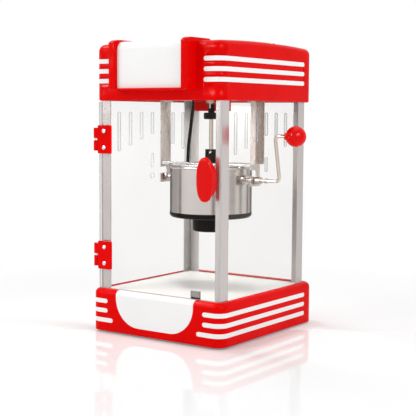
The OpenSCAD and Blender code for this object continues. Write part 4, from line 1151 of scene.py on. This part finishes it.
@dataclass
class CrossScrews:
    """Pan-head screws with a cross recess: one is modelled for each node, and copied to every place."""

    node: str
    body: str
    way: Point
    places: Iterable[Point]
    length: float
    height: float = 1.6
    head: float = 3.2
    shank: float = 1.5
    dome: float = 0.55
    recess_long: float = 0.62
    recess_wide: float = 0.17
    recess_floor: float = 0.45
    over: float = 9.0
    overlap: float = 0.1
    first_spin: float = 20.0
    next_spin: float = 37.0

    def build(self) -> None:
        """Makes the first screw with its head at the origin, and the copies."""
        middle, top = (0.0, 0.0, 0.0), (0.0, 0.0, self.height)
        first = Piece.rod("screw", middle, top, self.head, sides=32)
        dome = self.dome * self.height
        first.bevel(lambda at, way: Axis.Z.across(way) and at.z > self.height - NEAR, dome, steps=4)
        long, wide = self.recess_long * self.head, self.recess_wide * self.head
        floor = self.recess_floor * self.height
        for x, y in ((long, wide), (wide, long)):
            first.cut(Piece.block("slot", (-x, -y, floor), (x, y, self.over)))
        tip, root = (0.0, 0.0, -self.length), (0.0, 0.0, self.overlap)
        shank = Piece.rod("shank", tip, root, self.shank, sides=16)
        first.join(shank).smooth(degrees=30.0)
        turn = Vector(self.way).to_track_quat("Z", "Y").to_matrix().to_4x4()
        made = []
        for number, place in enumerate(self.places):
            spin = Matrix.Rotation(math.radians(self.first_spin + self.next_spin * number), 4, "Z")
            change = Matrix.Translation(Vector(place) * MM) @ turn @ spin
            made.append(first.copy(f"{self.node}_{number + 1}", change))
        bpy.data.objects.remove(first.body)
        for piece in made:
            piece.done(ZINC, self.body, self.node, replaces=piece is made[0])


def fasteners() -> tuple[CrossScrews, ...]:
    """Every visible screw, placed on the parts that it holds."""
    leaf_inset, leaf_thick, hanger_thick = 8.8, 2.5, 1.5
    handle_apart, hanger_apart = (-13.0, 13.0), (-7.0, 7.0)
    hanger_x, top_x, top_y = (-74.0, 81.0), (-90.0, 90.0), (-88.0, 90.0)
    bottom_x, bottom_y, bottom_z = (-84.0, 84.0), (-90.0, 90.0), 1.8
    lower, upper, post = map(Extent.of, ("lower_door_leaf", "upper_door_leaf", "upper_post_leaf"))
    handle, door, ceiling = map(Extent.of, ("door_handle", "door_glass", "ceiling_plate"))
    door_x, post_y = Extent.of("door_leaf_screws").middle[0], Extent.of("post_leaf_screws").middle[1]
    rows = [z for leaf in (lower, upper) for z in (leaf.low[2] + leaf_inset, leaf.high[2] - leaf_inset)]
    handle_z = [handle.middle[2] + side for side in handle_apart]
    hanger_y = [STIRRER_AXIS[1] + side for side in hanger_apart]
    on_door = product([door_x], [upper.low[1]], rows)
    on_post = product([post.high[0] - leaf_thick], [post_y], rows)
    on_handle = product([handle.middle[0]], [door.high[1]], handle_z)
    on_hangers = product(hanger_x, hanger_y, [ceiling.low[2] - hanger_thick])
    on_case = chain(product(bottom_x, bottom_y, [bottom_z]), product(top_x, top_y, [ceiling.low[2]]))
    left, forwards, back, down = (-1.0, 0.0, 0.0), (0.0, -1.0, 0.0), (0.0, 1.0, 0.0), (0.0, 0.0, -1.0)
    return (
        CrossScrews("door_leaf_screws", "door", forwards, on_door, length=7.0),
        CrossScrews("post_leaf_screws", "cabinet", left, on_post, length=leaf_thick),
        CrossScrews("handle_screws", "door", back, on_handle, length=11.5, height=1.4),
        CrossScrews("hanger_screws", "cabinet", down, on_hangers, length=6.0),
        CrossScrews("case_screws", "cabinet", down, on_case, length=12.0),
    )


@dataclass
class Stirrer:
    """Small fittings of the stirrer: the clamp screw of its hub and the grip ribs of its drive disc."""

    disc: Extent = Extent.of("drive_disc")
    hub_r: float = 9.1
    screw_aside: float = 4.6
    screw_z: float = 267.0
    screw_r: float = 2.1
    screw_sunk: float = 1.6
    screw_proud: float = 0.6
    screw_round: float = 0.5
    socket_r: float = 1.15
    socket_floor: float = 0.4
    socket_over: float = 3.0
    ribs: int = 18
    rib_low: float = 0.8
    rib_long: float = 8.4
    rib_sunk: float = 0.6
    rib_proud: float = 0.55
    rib_round: float = 0.4

    def build(self) -> None:
        """Makes the clamp screw and the ring of ribs."""
        self.clamp_screw()
        self.grip_ribs()

    def clamp_screw(self) -> None:
        """Makes the clamp screw, whose head stands out of the hub's front."""
        x, front, z = STIRRER_AXIS[0] + self.screw_aside, STIRRER_AXIS[1] - self.hub_r, self.screw_z
        face = front - self.screw_proud
        screw = Piece.rod("hub_screw", (x, front + self.screw_sunk, z), (x, face, z), self.screw_r, sides=24)
        screw.bevel(lambda at, way: Axis.Y.across(way) and at.y < face + NEAR, self.screw_round, steps=3)
        start, end = (x, front + self.socket_floor, z), (x, front - self.socket_over, z)
        screw.cut(Piece.rod("socket", start, end, self.socket_r, sides=6)).smooth(degrees=30.0)
        screw.done(BRIGHT, "stirrer", "drive_shaft", replaces=False)

    def grip_ribs(self) -> None:
        """Makes the ring of ribs round the drive disc."""
        x, y = STIRRER_AXIS
        side, low = self.disc.high[0], self.disc.low[2] + self.rib_low
        start = (side - self.rib_sunk, y - self.rib_proud, low)
        end = (side + self.rib_proud, y + self.rib_proud, low + self.rib_long)
        rib = Piece.block("rib", start, end)
        rib.bevel(lambda at, way: at.x > side + self.rib_proud - NEAR, self.rib_round, steps=3)
        about = Matrix.Translation(Vector((x, y, 0.0)) * MM)
        rest = []
        for number in range(1, self.ribs):
            turn = Matrix.Rotation(math.tau * number / self.ribs, 4, "Z")
            rest.append(rib.copy("rib_copy", about @ turn @ about.inverted()))
        rib.join(*rest).smooth(degrees=30.0)
        rib.body.name = "disc_ribs"
        rib.done(BLACK, "stirrer", "drive_disc", replaces=False)


def main() -> None:
    """Builds everything in order."""
    logging.basicConfig(level=logging.INFO, format="%(name)s: %(message)s")
    dress_nodes()
    Studio().build()
    Canopy().build()
    SignFrame().build()
    DoorHandle().build()
    KettleLead().build()
    Stirrer().build()
    for screws in fasteners():
        screws.build()


if __name__ == "__main__":
    main()
